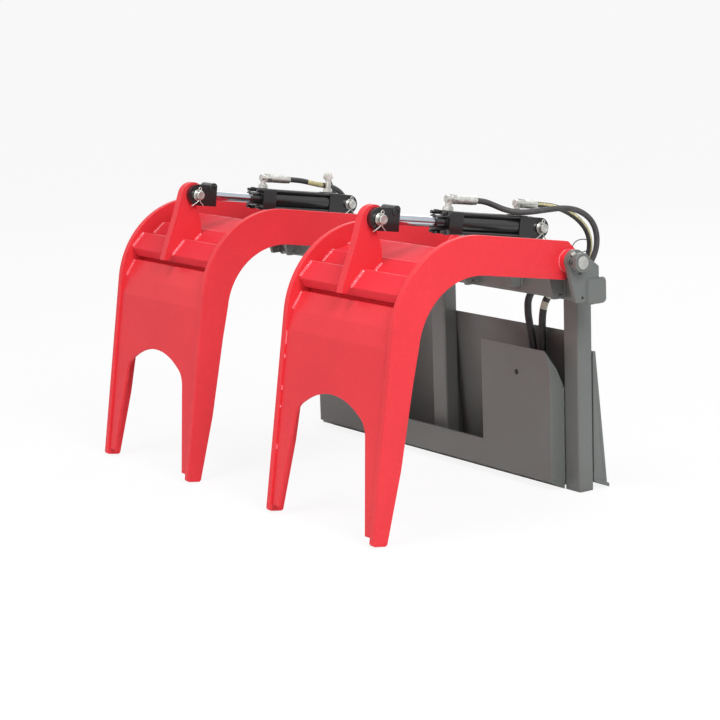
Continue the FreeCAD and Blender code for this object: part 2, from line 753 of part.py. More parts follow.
def upper_skin():
    """The folded sheet that joins an arm's side plates over the elbow."""
    stations = ("skin_rear_u", "skin_fold_one_u", "skin_fold_two_u", "skin_front_u")
    outside = [(u, on_elbow(u)) for u in stations]
    inside = [skin_inside(u) for u in reversed(stations)]
    outline = arm_outline(outside + inside)
    for side, sign in SIDES:
        skin = plate(side + "_arm_upper_skin", "YZ_Plane", [outline], "2*(side_outer-side_thick)")
        keep(on_arm(skin, sign, "0"))


def front_plate():
    """The plate between the tines, bent near its top and cut to an arch."""
    face_u = "(%s-front_recess)" % TINE_FRONT
    foot_w = "(front_shortfall-tine_length)"
    top_w = skin_inside("skin_front_u")[1] + "-seam_gap"
    outline = arm_outline([
        ("front_top_u", top_w),
        (face_u, "-front_bend_w"),
        (face_u, foot_w),
        (face_u + "-front_thick", foot_w),
        (face_u + "-front_thick", "-front_bend_w"),
        ("front_top_u-front_thick", top_w),
    ])
    shoulder_w = "(-arch_apex_w-arch_radius+sqrt(arch_radius^2-arch_shoulder_x^2))"
    arch = [
        ("-arch_foot_x", foot_w + "-front_thick"),
        ("arch_foot_x", foot_w + "-front_thick"),
        ("arch_foot_x", foot_w),
        ("arch_side_x", "-arch_side_w", "arch_shoulder_r", "left"),
        ("arch_shoulder_x", shoulder_w, "arch_radius", "left"),
        ("-arch_shoulder_x", shoulder_w, "arch_shoulder_r", "left"),
        ("-arch_side_x", "-arch_side_w"),
        ("-arch_foot_x", foot_w),
    ]
    for side, sign in SIDES:
        panel = plate(side + "_arm_front_plate", "YZ_Plane", [outline], "2*(side_outer-side_thick)")
        cut_away(panel, "XZ_Plane", [arch], "4*" + TINE_FRONT)
        keep(on_arm(panel, sign, "0"))


def arm_lug():
    """The lug on an arm's skin that the rod's clevis takes hold of."""
    crown_u = "(rod_pin_u+arm_lug_lean)"
    outline = arm_outline([
        ("rod_pin_u-arm_lug_heel", on_elbow("rod_pin_u-arm_lug_heel")),
        ("skin_fold_one_u", on_elbow("skin_fold_one_u")),
        ("skin_fold_two_u", on_elbow("skin_fold_two_u")),
        ("skin_front_u", on_elbow("skin_front_u")),
        ("skin_front_u+arm_lug_foot", on_elbow("skin_front_u")),
        ("arm_lug_toe_u", "-arm_lug_toe_w"),
        ("arm_lug_neck_u", "-arm_lug_neck_w"),
        ("arm_lug_nose_u", "rod_pin_w", "arm_lug_nose", "right"),
        (crown_u, "rod_pin_w+arm_lug_crown", "arm_lug_crown", "right"),
        ("rod_pin_u-arm_lug_eye", "rod_pin_w", "arm_lug_eye", "right"),
        ("rod_pin_u-arm_lug_lean", "rod_pin_w-arm_lug_eye"),
    ])
    bore = [("-rod_pin_u", "rod_pin_w", CYLINDER_PIN_BORE)]
    for side, sign in SIDES:
        lug = plate(side + "_arm_lug", "YZ_Plane", [outline], "arm_lug_thick", bore)
        keep(on_arm(lug, sign, "0"))


# Cylinders: in a cylinder's sketches the first axis is -distance from the base pin

BARREL_START = "(base_cap_start+base_cap_long)"
BARREL_END = "(%s+barrel_long)" % BARREL_START
HEAD_START = "(%s+head_flange_long)" % BARREL_END
HEAD_END = "(%s+head_long)" % HEAD_START
PISTON_END = "(%s-piston_spare)" % BARREL_END
ROD_END = "(%s-rod_clevis_long)" % CYLINDER_LENGTH


def tie_rod_places():
    """The corners at which the tie rods run."""
    return [("%s*tie_rod_offset" % one, "%s*tie_rod_offset" % two)
            for one in ("1", "-1") for two in ("1", "-1")]


def slice_between(start, end):
    """The length and the middle of a stretch of the cylinder."""
    return "%s-(%s)" % (end, start), "(%s+(%s))/2" % (end, start)


def base_cap(side, sign):
    """The square cap and the clevis at a cylinder's base, in one casting."""
    length, middle = slice_between("base_cap_start", BARREL_START)
    square = rounded_rectangle("cap_half", "cap_half", "cap_corner")
    holes = [(x, y, "tie_rod_size+2*rod_fit") for x, y in tie_rod_places()]
    cap = plate(side + "_base_cap_block", "XZ_Plane", [square], length, holes, middle)
    ear_outline = [
        ("-base_cap_start", "-clevis_round"),
        ("0", "-clevis_round", "clevis_round", "left"),
        ("clevis_round", "0", "clevis_round", "left"),
        ("0", "clevis_round"),
        ("-base_cap_start", "clevis_round"),
    ]
    ear_thick = "(clevis_half-base_lug_thick/2-clevis_gap)"
    pieces = [cap]
    for place, out in (("near", "1"), ("far", "-1")):
        ear = plate("%s_base_clevis_%s" % (side, place), "YZ_Plane", [ear_outline], ear_thick,
                    [("0", "0", CYLINDER_PIN_BORE)], "%s*(clevis_half-%s/2)" % (out, ear_thick))
        pieces.append(ear)
    keep(on_cylinder(joined(side + "_cylinder_base_cap", pieces), sign))


def barrel(side, sign):
    """The barrel tube, its head flange, the head casting and the tie rods with nuts."""
    tube = turned(side + "_cylinder_barrel", [
        ("-" + BARREL_START, "barrel_bore/2"),
        ("-" + BARREL_START, "barrel_size/2"),
        ("-" + BARREL_END, "barrel_size/2"),
        ("-" + BARREL_END, "barrel_bore/2"),
    ])
    keep(on_cylinder(tube, sign))
    holes = [(x, y, "tie_rod_size+2*rod_fit") for x, y in tie_rod_places()]
    rod_bore = [("0", "0", "rod_size+2*rod_fit")]
    square = rounded_rectangle("cap_half", "cap_half", "cap_corner")
    flange = plate(side + "_cylinder_head_flange", "XZ_Plane", [square], "head_flange_long",
                   holes + rod_bore, BARREL_END + "+head_flange_long/2")
    keep(on_cylinder(flange, sign))
    block = plate(side + "_head_block", "XZ_Plane", [square], "head_long",
                  holes + rod_bore, HEAD_END + "-head_long/2")
    nose = plate(side + "_gland_nose", "XZ_Plane", [], "gland_long",
                 [("0", "0", "gland_size")] + rod_bore, HEAD_END + "+gland_long/2")
    keep(on_cylinder(joined(side + "_cylinder_head", [block, nose]), sign))
    rods = []
    for number, (x, y) in enumerate(tie_rod_places(), start=1):
        start = "(base_cap_start+tie_rod_recess)"
        length, middle = slice_between(start, "(%s+nut_long+tie_rod_tail)" % HEAD_END)
        shank = plate("%s_tie_shank_%d" % (side, number), "XZ_Plane", [], length,
                      [(x, y, "tie_rod_size")], middle)
        nut = plate("%s_tie_nut_%d" % (side, number), "XZ_Plane", [hexagon(x, y, "nut_size")],
                    "nut_long", (), HEAD_END + "+nut_long/2")
        rods.append(joined("%s_tie_rod_%d" % (side, number), [shank, nut]))
    keep(on_cylinder(together(side + "_tie_rods", rods), sign))


def piston_and_rod(side, sign):
    """The piston inside the barrel and the rod that leaves through the head."""
    piston = turned(side + "_piston", [
        ("-" + PISTON_END, "0"),
        ("-" + PISTON_END, "barrel_bore/2-piston_fit"),
        ("piston_long-" + PISTON_END, "barrel_bore/2-piston_fit"),
        ("piston_long-" + PISTON_END, "0"),
    ])
    keep(on_cylinder(piston, sign))
    rod = turned(side + "_piston_rod", [
        ("-" + ROD_END, "0"),
        ("-" + ROD_END, "rod_size/2"),
        ("-" + PISTON_END, "rod_size/2"),
        ("-" + PISTON_END, "0"),
    ])
    keep(on_cylinder(rod, sign))


def rod_clevis(side, sign):
    """The clevis on the rod's end, with its pinch bolt and the two ends of its pin."""
    pin_s = "-" + CYLINDER_LENGTH
    outline = [
        ("rod_clevis_long-" + CYLINDER_LENGTH, "-rod_clevis_half"),
        ("rod_clevis_long-" + CYLINDER_LENGTH, "rod_clevis_half"),
        (pin_s, "rod_clevis_half", "rod_clevis_half", "left"),
        (pin_s + "-rod_clevis_half", "0", "rod_clevis_half", "left"),
        (pin_s, "-rod_clevis_half"),
    ]
    body = plate(side + "_rod_clevis_body", "YZ_Plane", [outline], "2*clevis_half",
                 [(pin_s, "0", CYLINDER_PIN_BORE)])
    slot = rectangle(pin_s + "-2*rod_clevis_half", "rod_clevis_throat" + pin_s,
                     "-2*rod_clevis_half", "2*rod_clevis_half")
    cut_away(body, "YZ_Plane", [slot], "arm_lug_thick+2*clevis_gap")
    pinch_s = "(rod_clevis_long-pinch_bolt_size/2-%s)" % CYLINDER_LENGTH
    bolt_boss = plate(side + "_pinch_boss", "YZ_Plane", [], "2*clevis_half",
                      [(pinch_s, "rod_clevis_half-pinch_bolt_drop", "pinch_bolt_size")])
    keep(on_cylinder(joined(side + "_rod_clevis", [body, bolt_boss]), sign))
    ends = []
    inside = "(arm_lug_thick/2+2*clevis_gap)"
    for place, out in (("near", "1"), ("far", "-1")):
        length = "cylinder_pin_half-%s" % inside
        end = plate("%s_rod_pin_%s" % (side, place), "YZ_Plane", [], length,
                    [(pin_s, "0", "cylinder_pin")], "%s*(cylinder_pin_half+%s)/2" % (out, inside))
        ends.append(end)
    keep(on_cylinder(together(side + "_rod_pin_ends", ends), sign))


def port_elbow(name, rise, ferrule_long):
    """A swivel elbow that stands on the origin and points along Y, with its hose's ferrule."""
    stem = plate(name + "_stem", "XY_Plane", [], rise, [("0", "0", "elbow_stem")], rise + "/2")
    run = plate(name + "_run", "XZ_Plane", [], "elbow_reach+elbow_size/2", [("0", rise, "elbow_size")],
                "-(elbow_reach-elbow_size/2)/2")
    union = plate(name + "_union", "XZ_Plane", [hexagon("0", rise, "union_size")], "union_long", (),
                  "-(elbow_reach-union_long/2)")
    ferrule = plate(name + "_ferrule", "XZ_Plane", [], ferrule_long, [("0", rise, "ferrule_size")],
                    "-(elbow_reach+%s/2)" % ferrule_long)
    return joined(name, [stem, run, union, ferrule])


def ports(side, sign):
    """The two port elbows of a cylinder."""
    base_rise, swivel = ("elbow_rise", None) if side == "right" else ("tall_elbow_rise", "elbow_swivel")
    rod_port = port_elbow(side + "_rod_port", "elbow_rise", "rod_ferrule_long")
    put(rod_port, "0", "-rod_port_s", "cap_half")
    base_port = port_elbow(side + "_base_port", base_rise, "base_ferrule_long")
    put(base_port, "0", "-base_port_s", "cap_half", swivel, UPWARD)
    keep(on_cylinder(together(side + "_port_elbows", [rod_port, base_port]), sign))


def cylinders():
    """Both cylinders."""
    for side, sign in SIDES:
        base_cap(side, sign)
        barrel(side, sign)
        piston_and_rod(side, sign)
        rod_clevis(side, sign)
        ports(side, sign)


# Hoses

# Each route starts at the ferrule on the cylinder and ends at the port block's ferrule.
HOSE_ROUTES = {
    "right_rod_hose": [
        (450.3, -231.1, 806.9), (450.6, -204.0, 803.1), (455.0, -177.0, 792.0), (467.0, -149.0, 777.0),
        (484.0, -117.0, 767.0), (496.0, -78.0, 765.5), (506.0, -33.0, 768.0), (517.0, 14.0, 770.0),
        (526.0, 60.0, 762.0), (532.0, 99.0, 738.0), (534.0, 122.0, 702.0), (531.0, 128.0, 656.0),
        (522.0, 115.0, 612.0), (504.0, 91.0, 575.0), (481.0, 63.0, 545.0), (457.0, 36.0, 517.0),
        (440.0, 17.0, 481.0), (435.0, 9.0, 440.0), (435.0, 7.0, 400.0), (436.8, 6.3, 363.0),
        (437.0, 6.0, 331.3)],
    "right_base_hose": [
        (450.3, -23.1, 777.6), (451.0, 8.0, 773.0), (455.0, 44.0, 765.5), (462.0, 83.0, 749.0),
        (471.0, 119.0, 722.0), (478.0, 143.0, 687.0), (478.0, 150.0, 644.0), (469.0, 140.0, 602.0),
        (451.0, 115.0, 569.0), (428.0, 83.0, 549.0), (404.0, 51.0, 533.0), (387.0, 24.0, 505.0),
        (381.0, 8.5, 467.0), (386.0, 5.0, 428.0), (394.0, 5.0, 392.0), (399.6, 5.8, 361.0),
        (400.0, 6.0, 331.3)],
    "left_rod_hose": [
        (-450.3, -231.1, 806.9), (-451.5, -190.0, 801.0), (-458.0, -148.0, 790.0),
        (-469.0, -106.0, 779.0), (-485.0, -66.0, 771.0), (-504.0, -28.0, 761.0),
        (-520.0, 8.0, 741.0), (-531.0, 37.0, 709.0), (-533.0, 54.0, 668.0), (-524.0, 58.0, 624.0),
        (-503.0, 49.0, 584.0), (-475.0, 35.0, 549.0), (-445.0, 21.0, 516.0), (-420.0, 12.0, 481.0),
        (-406.0, 8.0, 441.0), (-401.0, 6.5, 400.0), (-400.3, 6.0, 363.0), (-400.0, 6.0, 331.3)],
    "left_base_hose": [
        (-506.0, -52.9, 797.0), (-536.0, -35.7, 794.6), (-563.0, -12.0, 783.0), (-583.0, 14.0, 757.0),
        (-592.0, 37.0, 720.0), (-589.0, 52.0, 678.0), (-573.0, 56.0, 636.0), (-547.0, 49.0, 597.0),
        (-516.0, 37.0, 561.0), (-484.0, 24.0, 526.0), (-459.0, 13.5, 487.0), (-444.0, 8.0, 443.0),
        (-438.0, 6.5, 401.0), (-437.2, 6.0, 363.0), (-437.0, 6.0, 331.3)],
}
ARC_SHARE = 0.45


def hose_path(points):
    """Straight runs joined by tangent arcs, with the radii of the arcs."""
    edges = []
    radii = []
    here = points[0]
    for before, corner, after in zip(points, points[1:], points[2:]):
        backward = before - corner
        forward = after - corner
        half_turn = (math.pi - backward.getAngle(forward)) / 2
        reach = ARC_SHARE * min(backward.Length, forward.Length)
        radius = reach / math.tan(half_turn)
        backward.normalize()
        forward.normalize()
        inward = (backward + forward).normalize()
        start = corner + backward * reach
        middle = corner + inward * (radius / math.cos(half_turn) - radius)
        end = corner + forward * reach
        edges.append(Part.LineSegment(here, start).toShape())
        edges.append(Part.Arc(start, middle, end).toShape())
        radii.append(radius)
        here = end
    edges.append(Part.LineSegment(here, points[-1]).toShape())
    return Part.Wire(edges), radii


def hoses():
    """A plain tube along each hose's route."""
    size = amount("hose_size")
    for name, route in HOSE_ROUTES.items():
        points = [FreeCAD.Vector(*place) for place in route]
        path, radii = hose_path(points)
        ring = Part.Wire(Part.Circle(points[0], points[1] - points[0], size / 2).toShape())
        tube = path.makePipeShell([ring], True, False)
        section = math.pi * size ** 2 / 4
        print("%s: %.0f mm long, tightest bend %.0f mm, volume ratio %.4f"
              % (name, path.Length, min(radii), tube.Volume / (section * path.Length)))
        print("  bends", " ".join("%.0f" % radius for radius in radii))
        hose = doc.addObject("Part::Feature", name)
        hose.Label = name
        hose.Shape = tube
        keep(hose)


def port_blocks():
    """The blocks on the rear plate that the hoses end in, and the hose ends on them."""
    def plate_y(z):
        return "(post_depth/2+(rear_bend_z-%s)*%s)" % (z, REAR_TILT)
    profile = [
        ("-port_block_front", "port_block_foot"),
        (plate_y("port_block_foot"), "port_block_foot"),
        (plate_y("port_block_top"), "port_block_top"),
        ("-port_block_front", "port_block_top"),
    ]
    blocks = []
    ends = []
    for side, sign in SIDES:
        block = plate(side + "_port_block", "YZ_Plane", [profile], "2*port_block_half")
        blocks.append(put(block, "%s*port_block_x" % sign))
        for place, out in (("outer", "1"), ("inner", "-1")):
            name = "%s_%s_hose_end" % (side, place)
            union = plate(name + "_union", "XY_Plane", [hexagon("0", "0", "union_size")], "union_long",
                          (), "union_long/2")
            ferrule = plate(name + "_ferrule", "XY_Plane", [], "hose_end_long",
                            [("0", "0", "ferrule_size")], "hose_end_long/2")
            end = joined(name, [union, ferrule])
            x = "%s*(port_block_x+%s*hose_end_spread)" % (sign, out)
            ends.append(put(end, x, "hose_end_y", "port_block_top"))
    keep(together("hose_port_blocks", blocks))
    keep(together("hose_end_fittings", ends))


def check_and_write():
    """Stop at any failed object or bad shape, then write each sub-part."""
    doc.recompute()
    for thing in doc.Objects:
        if "Invalid" in thing.State or "Error" in thing.State:
            raise RuntimeError("%s failed: %s" % (thing.Name, thing.State))
    for thing in sub_parts:
        if thing.Shape.isNull() or not thing.Shape.isValid() or not thing.Shape.Solids:
            raise RuntimeError(thing.Label + " has no valid solid")
    os.makedirs("parts", exist_ok=True)
    for thing in sub_parts:
        thing.Shape.exportStep("parts/%s.step" % thing.Label)


posts()
top_beam()
front_coupler_plate()
coupler_side_plates()
rear_coupler_plate()
rear_gussets()
hinges()
base_lugs()
side_plates()
hinge_tubes()
upper_skin()
front_plate()
arm_lug()
cylinders()
hoses()
port_blocks()
check_and_write()
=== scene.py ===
"""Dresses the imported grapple: camera, light, finishes, hoses, welds and small fittings."""

import json
import math

import bmesh
import bpy
from mathutils import Matrix, Vector, noise


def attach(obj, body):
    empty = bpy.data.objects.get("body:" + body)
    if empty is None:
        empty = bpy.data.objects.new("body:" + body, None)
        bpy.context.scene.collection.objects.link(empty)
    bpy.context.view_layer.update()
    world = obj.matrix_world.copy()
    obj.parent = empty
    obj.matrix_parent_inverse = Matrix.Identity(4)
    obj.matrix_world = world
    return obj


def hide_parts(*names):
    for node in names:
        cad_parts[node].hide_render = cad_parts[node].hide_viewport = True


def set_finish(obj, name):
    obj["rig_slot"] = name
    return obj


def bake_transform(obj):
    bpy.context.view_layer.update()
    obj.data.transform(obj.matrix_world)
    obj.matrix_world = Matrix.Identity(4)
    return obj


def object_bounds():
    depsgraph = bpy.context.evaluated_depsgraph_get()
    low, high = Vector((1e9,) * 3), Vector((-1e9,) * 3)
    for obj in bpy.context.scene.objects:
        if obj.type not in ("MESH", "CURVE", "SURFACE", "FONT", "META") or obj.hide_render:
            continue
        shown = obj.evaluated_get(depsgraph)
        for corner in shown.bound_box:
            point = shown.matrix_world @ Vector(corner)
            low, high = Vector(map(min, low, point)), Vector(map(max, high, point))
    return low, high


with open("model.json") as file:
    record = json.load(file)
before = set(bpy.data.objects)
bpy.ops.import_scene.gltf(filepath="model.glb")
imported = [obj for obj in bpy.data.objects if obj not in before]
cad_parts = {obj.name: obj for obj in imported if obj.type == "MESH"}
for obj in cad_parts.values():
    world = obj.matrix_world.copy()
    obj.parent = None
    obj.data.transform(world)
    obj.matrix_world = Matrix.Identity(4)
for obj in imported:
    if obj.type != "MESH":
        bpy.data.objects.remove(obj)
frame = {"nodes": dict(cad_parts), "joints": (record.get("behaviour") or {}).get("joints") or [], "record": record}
cad_low, cad_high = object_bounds()

MM = 0.001
SIDES = (("right", 1), ("left", -1))
ACROSS = Vector((1, 0, 0))
RECORD_SLOTS = [made["slot"] for made in frame["record"]["materials"]]

# Places of the arms and cylinders, in millimetres. Those of the pins come from the frame's joints.

JOINT_PLACES = {joint["name"]: joint.get("pos_m") for joint in frame["joints"]}
ARM_X, HINGE_Y, HINGE_Z = [place / MM for place in JOINT_PLACES["right_arm_hinge"]]
BASE_PIN_Y, BASE_PIN_Z = [place / MM for place in JOINT_PLACES["right_barrel_hinge"][1:]]
ARM_ANGLE = math.radians(8.7)
CYLINDER_ANGLE = math.radians(8.019)
CYLINDER_LENGTH = 542.99
TOWARDS_BASE = Vector((0, math.cos(CYLINDER_ANGLE), -math.sin(CYLINDER_ANGLE)))
ABOVE_CYLINDER = Vector((0, math.sin(CYLINDER_ANGLE), math.cos(CYLINDER_ANGLE)))


def on_frame(x, y, z):
    """A point of the fixed frame, from millimetres."""
    return Vector((x, y, z)) * MM


def on_arm(sign, x, u, w):
    """A point of an arm, from millimetres: x outboard of its middle, u out along its bar, w up."""
    y = HINGE_Y - u * math.cos(ARM_ANGLE) + w * math.sin(ARM_ANGLE)
    z = HINGE_Z + u * math.sin(ARM_ANGLE) + w * math.cos(ARM_ANGLE)
    return Vector((sign * (ARM_X + x) * MM, y * MM, z * MM))


def on_cylinder(sign, x, s, n):
    """A point of a cylinder, from millimetres: x across from its middle, s out from its base pin, n up."""
    y = BASE_PIN_Y - s * math.cos(CYLINDER_ANGLE) + n * math.sin(CYLINDER_ANGLE)
    z = BASE_PIN_Z + s * math.sin(CYLINDER_ANGLE) + n * math.cos(CYLINDER_ANGLE)
    return Vector(((sign * ARM_X + x) * MM, y * MM, z * MM))


# Camera, in metres and radians

CAMERA_PLACE = Vector((4.7311, -3.6407, 1.4179))
CAMERA_AZIMUTH = math.radians(54.834)
CAMERA_FALL = math.radians(10.706)
CAMERA_ROLL = math.radians(-1.891)


def make_camera():
    """The camera at the photograph's place, height and roll."""
    data = bpy.data.cameras.new("camera")
    camera = bpy.data.objects.new("camera", data)
    bpy.context.scene.collection.objects.link(camera)
    bpy.context.scene.camera = camera
    data.sensor_width = 36.0
    data.lens = 102.8
    data.clip_start = 0.05
    data.clip_end = 600.0
    level = math.cos(CAMERA_FALL)
    forward = Vector((-math.sin(CAMERA_AZIMUTH) * level, math.cos(CAMERA_AZIMUTH) * level,
                      -math.sin(CAMERA_FALL)))
    across = Vector((math.cos(CAMERA_AZIMUTH), math.sin(CAMERA_AZIMUTH), 0))
    upward = across.cross(forward)
    right = across * math.cos(CAMERA_ROLL) + upward * math.sin(CAMERA_ROLL)
    top = upward * math.cos(CAMERA_ROLL) - across * math.sin(CAMERA_ROLL)
    turn = Matrix((right, top, -forward)).transposed().to_4x4()
    camera.matrix_world = Matrix.Translation(CAMERA_PLACE) @ turn


# Light and floor

LAMPS = {
    "key": {"place": (4.0, -1.1, 3.7), "aim": (0, -0.3, 0.4), "size": 2.0, "power": 152.0},
    "front": {"place": (0.4, -5.0, 2.4), "aim": (0, -0.3, 0.4), "size": 3.0, "power": 32.0},
    "top": {"place": (0.3, -2.2, 4.6), "aim": (0, -0.4, 0.4), "size": 1.5, "power": 62.0},
    "back": {"place": (-2.5, 3.5, 3.2), "aim": (0, 0, 0.4), "size": 2.5, "power": 45.0},
}
WORLD_ON_PART = 0.5
WORLD_SEEN = 0.97
WHITE = (1, 1, 1, 1)
FLOOR_HALF = 250.0
FLOOR_DROP = 0.0005
FLOOR_GLOW = 0.88


def make_lamp(name, facts):
    """A square soft lamp that looks at a point."""
    data = bpy.data.lights.new(name, "AREA")
    data.size = facts["size"]
    data.energy = facts["power"]
    lamp = bpy.data.objects.new(name, data)
    bpy.context.scene.collection.objects.link(lamp)
    lamp.location = facts["place"]
    look = Vector(facts["aim"]) - Vector(facts["place"])
    lamp.rotation_euler = look.to_track_quat("-Z", "Y").to_euler()


def make_world():
    """A pale world that lights the part less than it shows to the camera and in reflections."""
    world = bpy.data.worlds.new("studio")
    bpy.context.scene.world = world
    world.use_nodes = True
    nodes = world.node_tree.nodes
    links = world.node_tree.links
    background = nodes["Background"]
    path = nodes.new("ShaderNodeLightPath")
    seen = nodes.new("ShaderNodeMath")
    seen.operation = "MAXIMUM"
    links.new(path.outputs["Is Camera Ray"], seen.inputs[0])
    links.new(path.outputs["Is Glossy Ray"], seen.inputs[1])
    strength = nodes.new("ShaderNodeMapRange")
    strength.inputs["To Min"].default_value = WORLD_ON_PART
    strength.inputs["To Max"].default_value = WORLD_SEEN
    links.new(seen.outputs[0], strength.inputs["Value"])
    background.inputs["Color"].default_value = WHITE
    links.new(strength.outputs[0], background.inputs["Strength"])


def make_floor():
    """A wide floor just under the part, which keeps its shadow."""
    data = bpy.data.meshes.new("floor")
    corners = [(-FLOOR_HALF, -FLOOR_HALF, 0), (FLOOR_HALF, -FLOOR_HALF, 0),
               (FLOOR_HALF, FLOOR_HALF, 0), (-FLOOR_HALF, FLOOR_HALF, 0)]
    data.from_pydata(corners, [], [(0, 1, 2, 3)])
    floor = bpy.data.objects.new("floor", data)
    bpy.context.scene.collection.objects.link(floor)
    floor.location.z = cad_low.z - FLOOR_DROP
    data.materials.append(floor_white())


def floor_white():
    """White for the floor, with a glow that only the camera sees."""
    made = Finish("floor_white", (0.9, 0.9, 0.9), 0.9)
    emission = made.node("ShaderNodeEmission")
    emission.inputs["Color"].default_value = WHITE
    path = made.node("ShaderNodeLightPath")
    share = made.node("ShaderNodeMath", operation="MULTIPLY")
    share.inputs[1].default_value = FLOOR_GLOW
    made.link(path.outputs["Is Camera Ray"], share.inputs[0])
    mix = made.node("ShaderNodeMixShader")
    made.link(share.outputs[0], mix.inputs[0])
    made.link(made.shader.outputs[0], mix.inputs[1])
    made.link(emission.outputs[0], mix.inputs[2])
    made.link(mix.outputs[0], made.output.inputs["Surface"])
    return made.material


# Finishes

class Finish:
    """A node material that starts as one Principled shader."""

    def __init__(self, name, colour, roughness, metallic=0.0):
        self.material = bpy.data.materials.new(name)
        self.material.use_nodes = True
        tree = self.material.node_tree
        self.nodes = tree.nodes
        self.links = tree.links
        self.shader = self.nodes["Principled BSDF"]
        self.output = self.nodes["Material Output"]
        self.shader.inputs["Base Color"].default_value = (*colour, 1)
        self.shader.inputs["Roughness"].default_value = roughness
        self.shader.inputs["Metallic"].default_value = metallic
        self.bumps = None

    def node(self, kind, **settings):
        """Add a node and set its properties."""
        made = self.nodes.new(kind)
        for name, setting in settings.items():
            setattr(made, name, setting)
        return made

    def link(self, source, target):
        """Join two sockets."""
        self.links.new(source, target)

    def noise(self, scale, detail=3.0, stretch=None):
        """A noise over the surface, in metres, as its factor socket."""
        found = self.node("ShaderNodeTexNoise")
        found.inputs["Scale"].default_value = scale
        found.inputs["Detail"].default_value = detail
        source = self.node("ShaderNodeTexCoord").outputs["Object"]
        if stretch:
            mapping = self.node("ShaderNodeMapping")
            mapping.inputs["Scale"].default_value = stretch
            self.link(source, mapping.inputs["Vector"])
            source = mapping.outputs["Vector"]
        self.link(source, found.inputs["Vector"])
        return found.outputs["Fac"]

    def ramp(self, source, low, first, high, second):
        """A colour that runs from the first one, at a low factor, to the second at a high one."""
        ramp = self.node("ShaderNodeValToRGB")
        for element, place, colour in zip(ramp.color_ramp.elements, (low, high), (first, second)):
            element.position = place
            element.color = (*colour, 1)
        self.link(source, ramp.inputs["Fac"])
        return ramp.outputs["Color"]

    def mix(self, factor, first, second):
        """Mix two colour sockets by a factor socket."""
        mixer = self.node("ShaderNodeMix", data_type="RGBA")
        self.link(factor, mixer.inputs["Factor"])
        self.link(first, mixer.inputs["A"])
        self.link(second, mixer.inputs["B"])
        return mixer.outputs["Result"]

    def colour(self, socket):
        """Use a socket as the base colour."""
        self.link(socket, self.shader.inputs["Base Color"])

    def rough(self, source, low, high):
        """Spread the roughness over a range."""
        spread = self.node("ShaderNodeMapRange")
        spread.inputs["To Min"].default_value = low
        spread.inputs["To Max"].default_value = high
        self.link(source, spread.inputs["Value"])
        self.link(spread.outputs["Result"], self.shader.inputs["Roughness"])

    def bump(self, source, strength, distance):
        """Add a bump over the earlier ones."""
        made = self.node("ShaderNodeBump")
        made.inputs["Strength"].default_value = strength
        made.inputs["Distance"].default_value = distance
        self.link(source, made.inputs["Height"])
        if self.bumps:
            self.link(self.bumps, made.inputs["Normal"])
        self.bumps = made.outputs["Normal"]
        self.link(self.bumps, self.shader.inputs["Normal"])

    def coat(self, weight, roughness):
        """Add a clear coat."""
        self.shader.inputs["Coat Weight"].default_value = weight
        self.shader.inputs["Coat Roughness"].default_value = roughness


def shaded(colour, share):
    """A colour made lighter or darker."""
    return tuple(min(1.0, part * share) for part in colour)


def paint(name, colour, roughness, coat, gloss):
    """Sprayed paint: faint mottling, a fine grain, orange peel and soft runs of gloss."""
    made = Finish(name, colour, roughness)
    mottled = made.ramp(made.noise(scale=4.0), 0.3, shaded(colour, 0.95), 0.7, shaded(colour, 1.05))
    grain = made.ramp(made.noise(scale=160.0), 0.35, (0.94, 0.94, 0.94), 0.65, (1, 1, 1))
    tint = made.node("ShaderNodeMix", data_type="RGBA", blend_type="MULTIPLY")
    tint.inputs["Factor"].default_value = 1.0
    made.link(mottled, tint.inputs["A"])
    made.link(grain, tint.inputs["B"])
    made.colour(tint.outputs["Result"])
    made.rough(made.noise(scale=14.0), low=roughness * 0.85, high=roughness * 1.2)
    made.bump(made.noise(scale=420.0, detail=2.0), strength=0.05, distance=0.0003)
    made.shader.inputs["Specular IOR Level"].default_value = gloss
    made.coat(coat, roughness=0.08)
    return made.material


def plated(name, colour, roughness, grain):
    """Zinc plate, bare steel or iron: a mottled metal with a fine grain."""
    made = Finish(name, colour, roughness, metallic=1.0)
    mottled = made.noise(scale=70.0, detail=5.0)
    made.colour(made.ramp(mottled, 0.3, shaded(colour, 0.8), 0.7, shaded(colour, 1.12)))
    made.rough(made.noise(scale=40.0, detail=4.0), low=roughness * 0.75, high=roughness * 1.3)
    made.bump(made.noise(scale=grain), strength=0.12, distance=0.0004)
    return made.material


def chromed(name):
    """Hard chrome with the faintest turning marks."""
    made = Finish(name, (0.5, 0.53, 0.58), roughness=0.12, metallic=1.0)
    made.colour(made.ramp(made.noise(scale=12.0), 0.2, (0.44, 0.47, 0.52), 0.8, (0.55, 0.58, 0.63)))
    made.rough(made.noise(scale=25.0, detail=4.0), low=0.08, high=0.16)
    turned = made.noise(scale=200.0, detail=2.0, stretch=(0.3, 8.0, 0.3))
    made.bump(turned, strength=0.03, distance=0.0002)
    return made.material


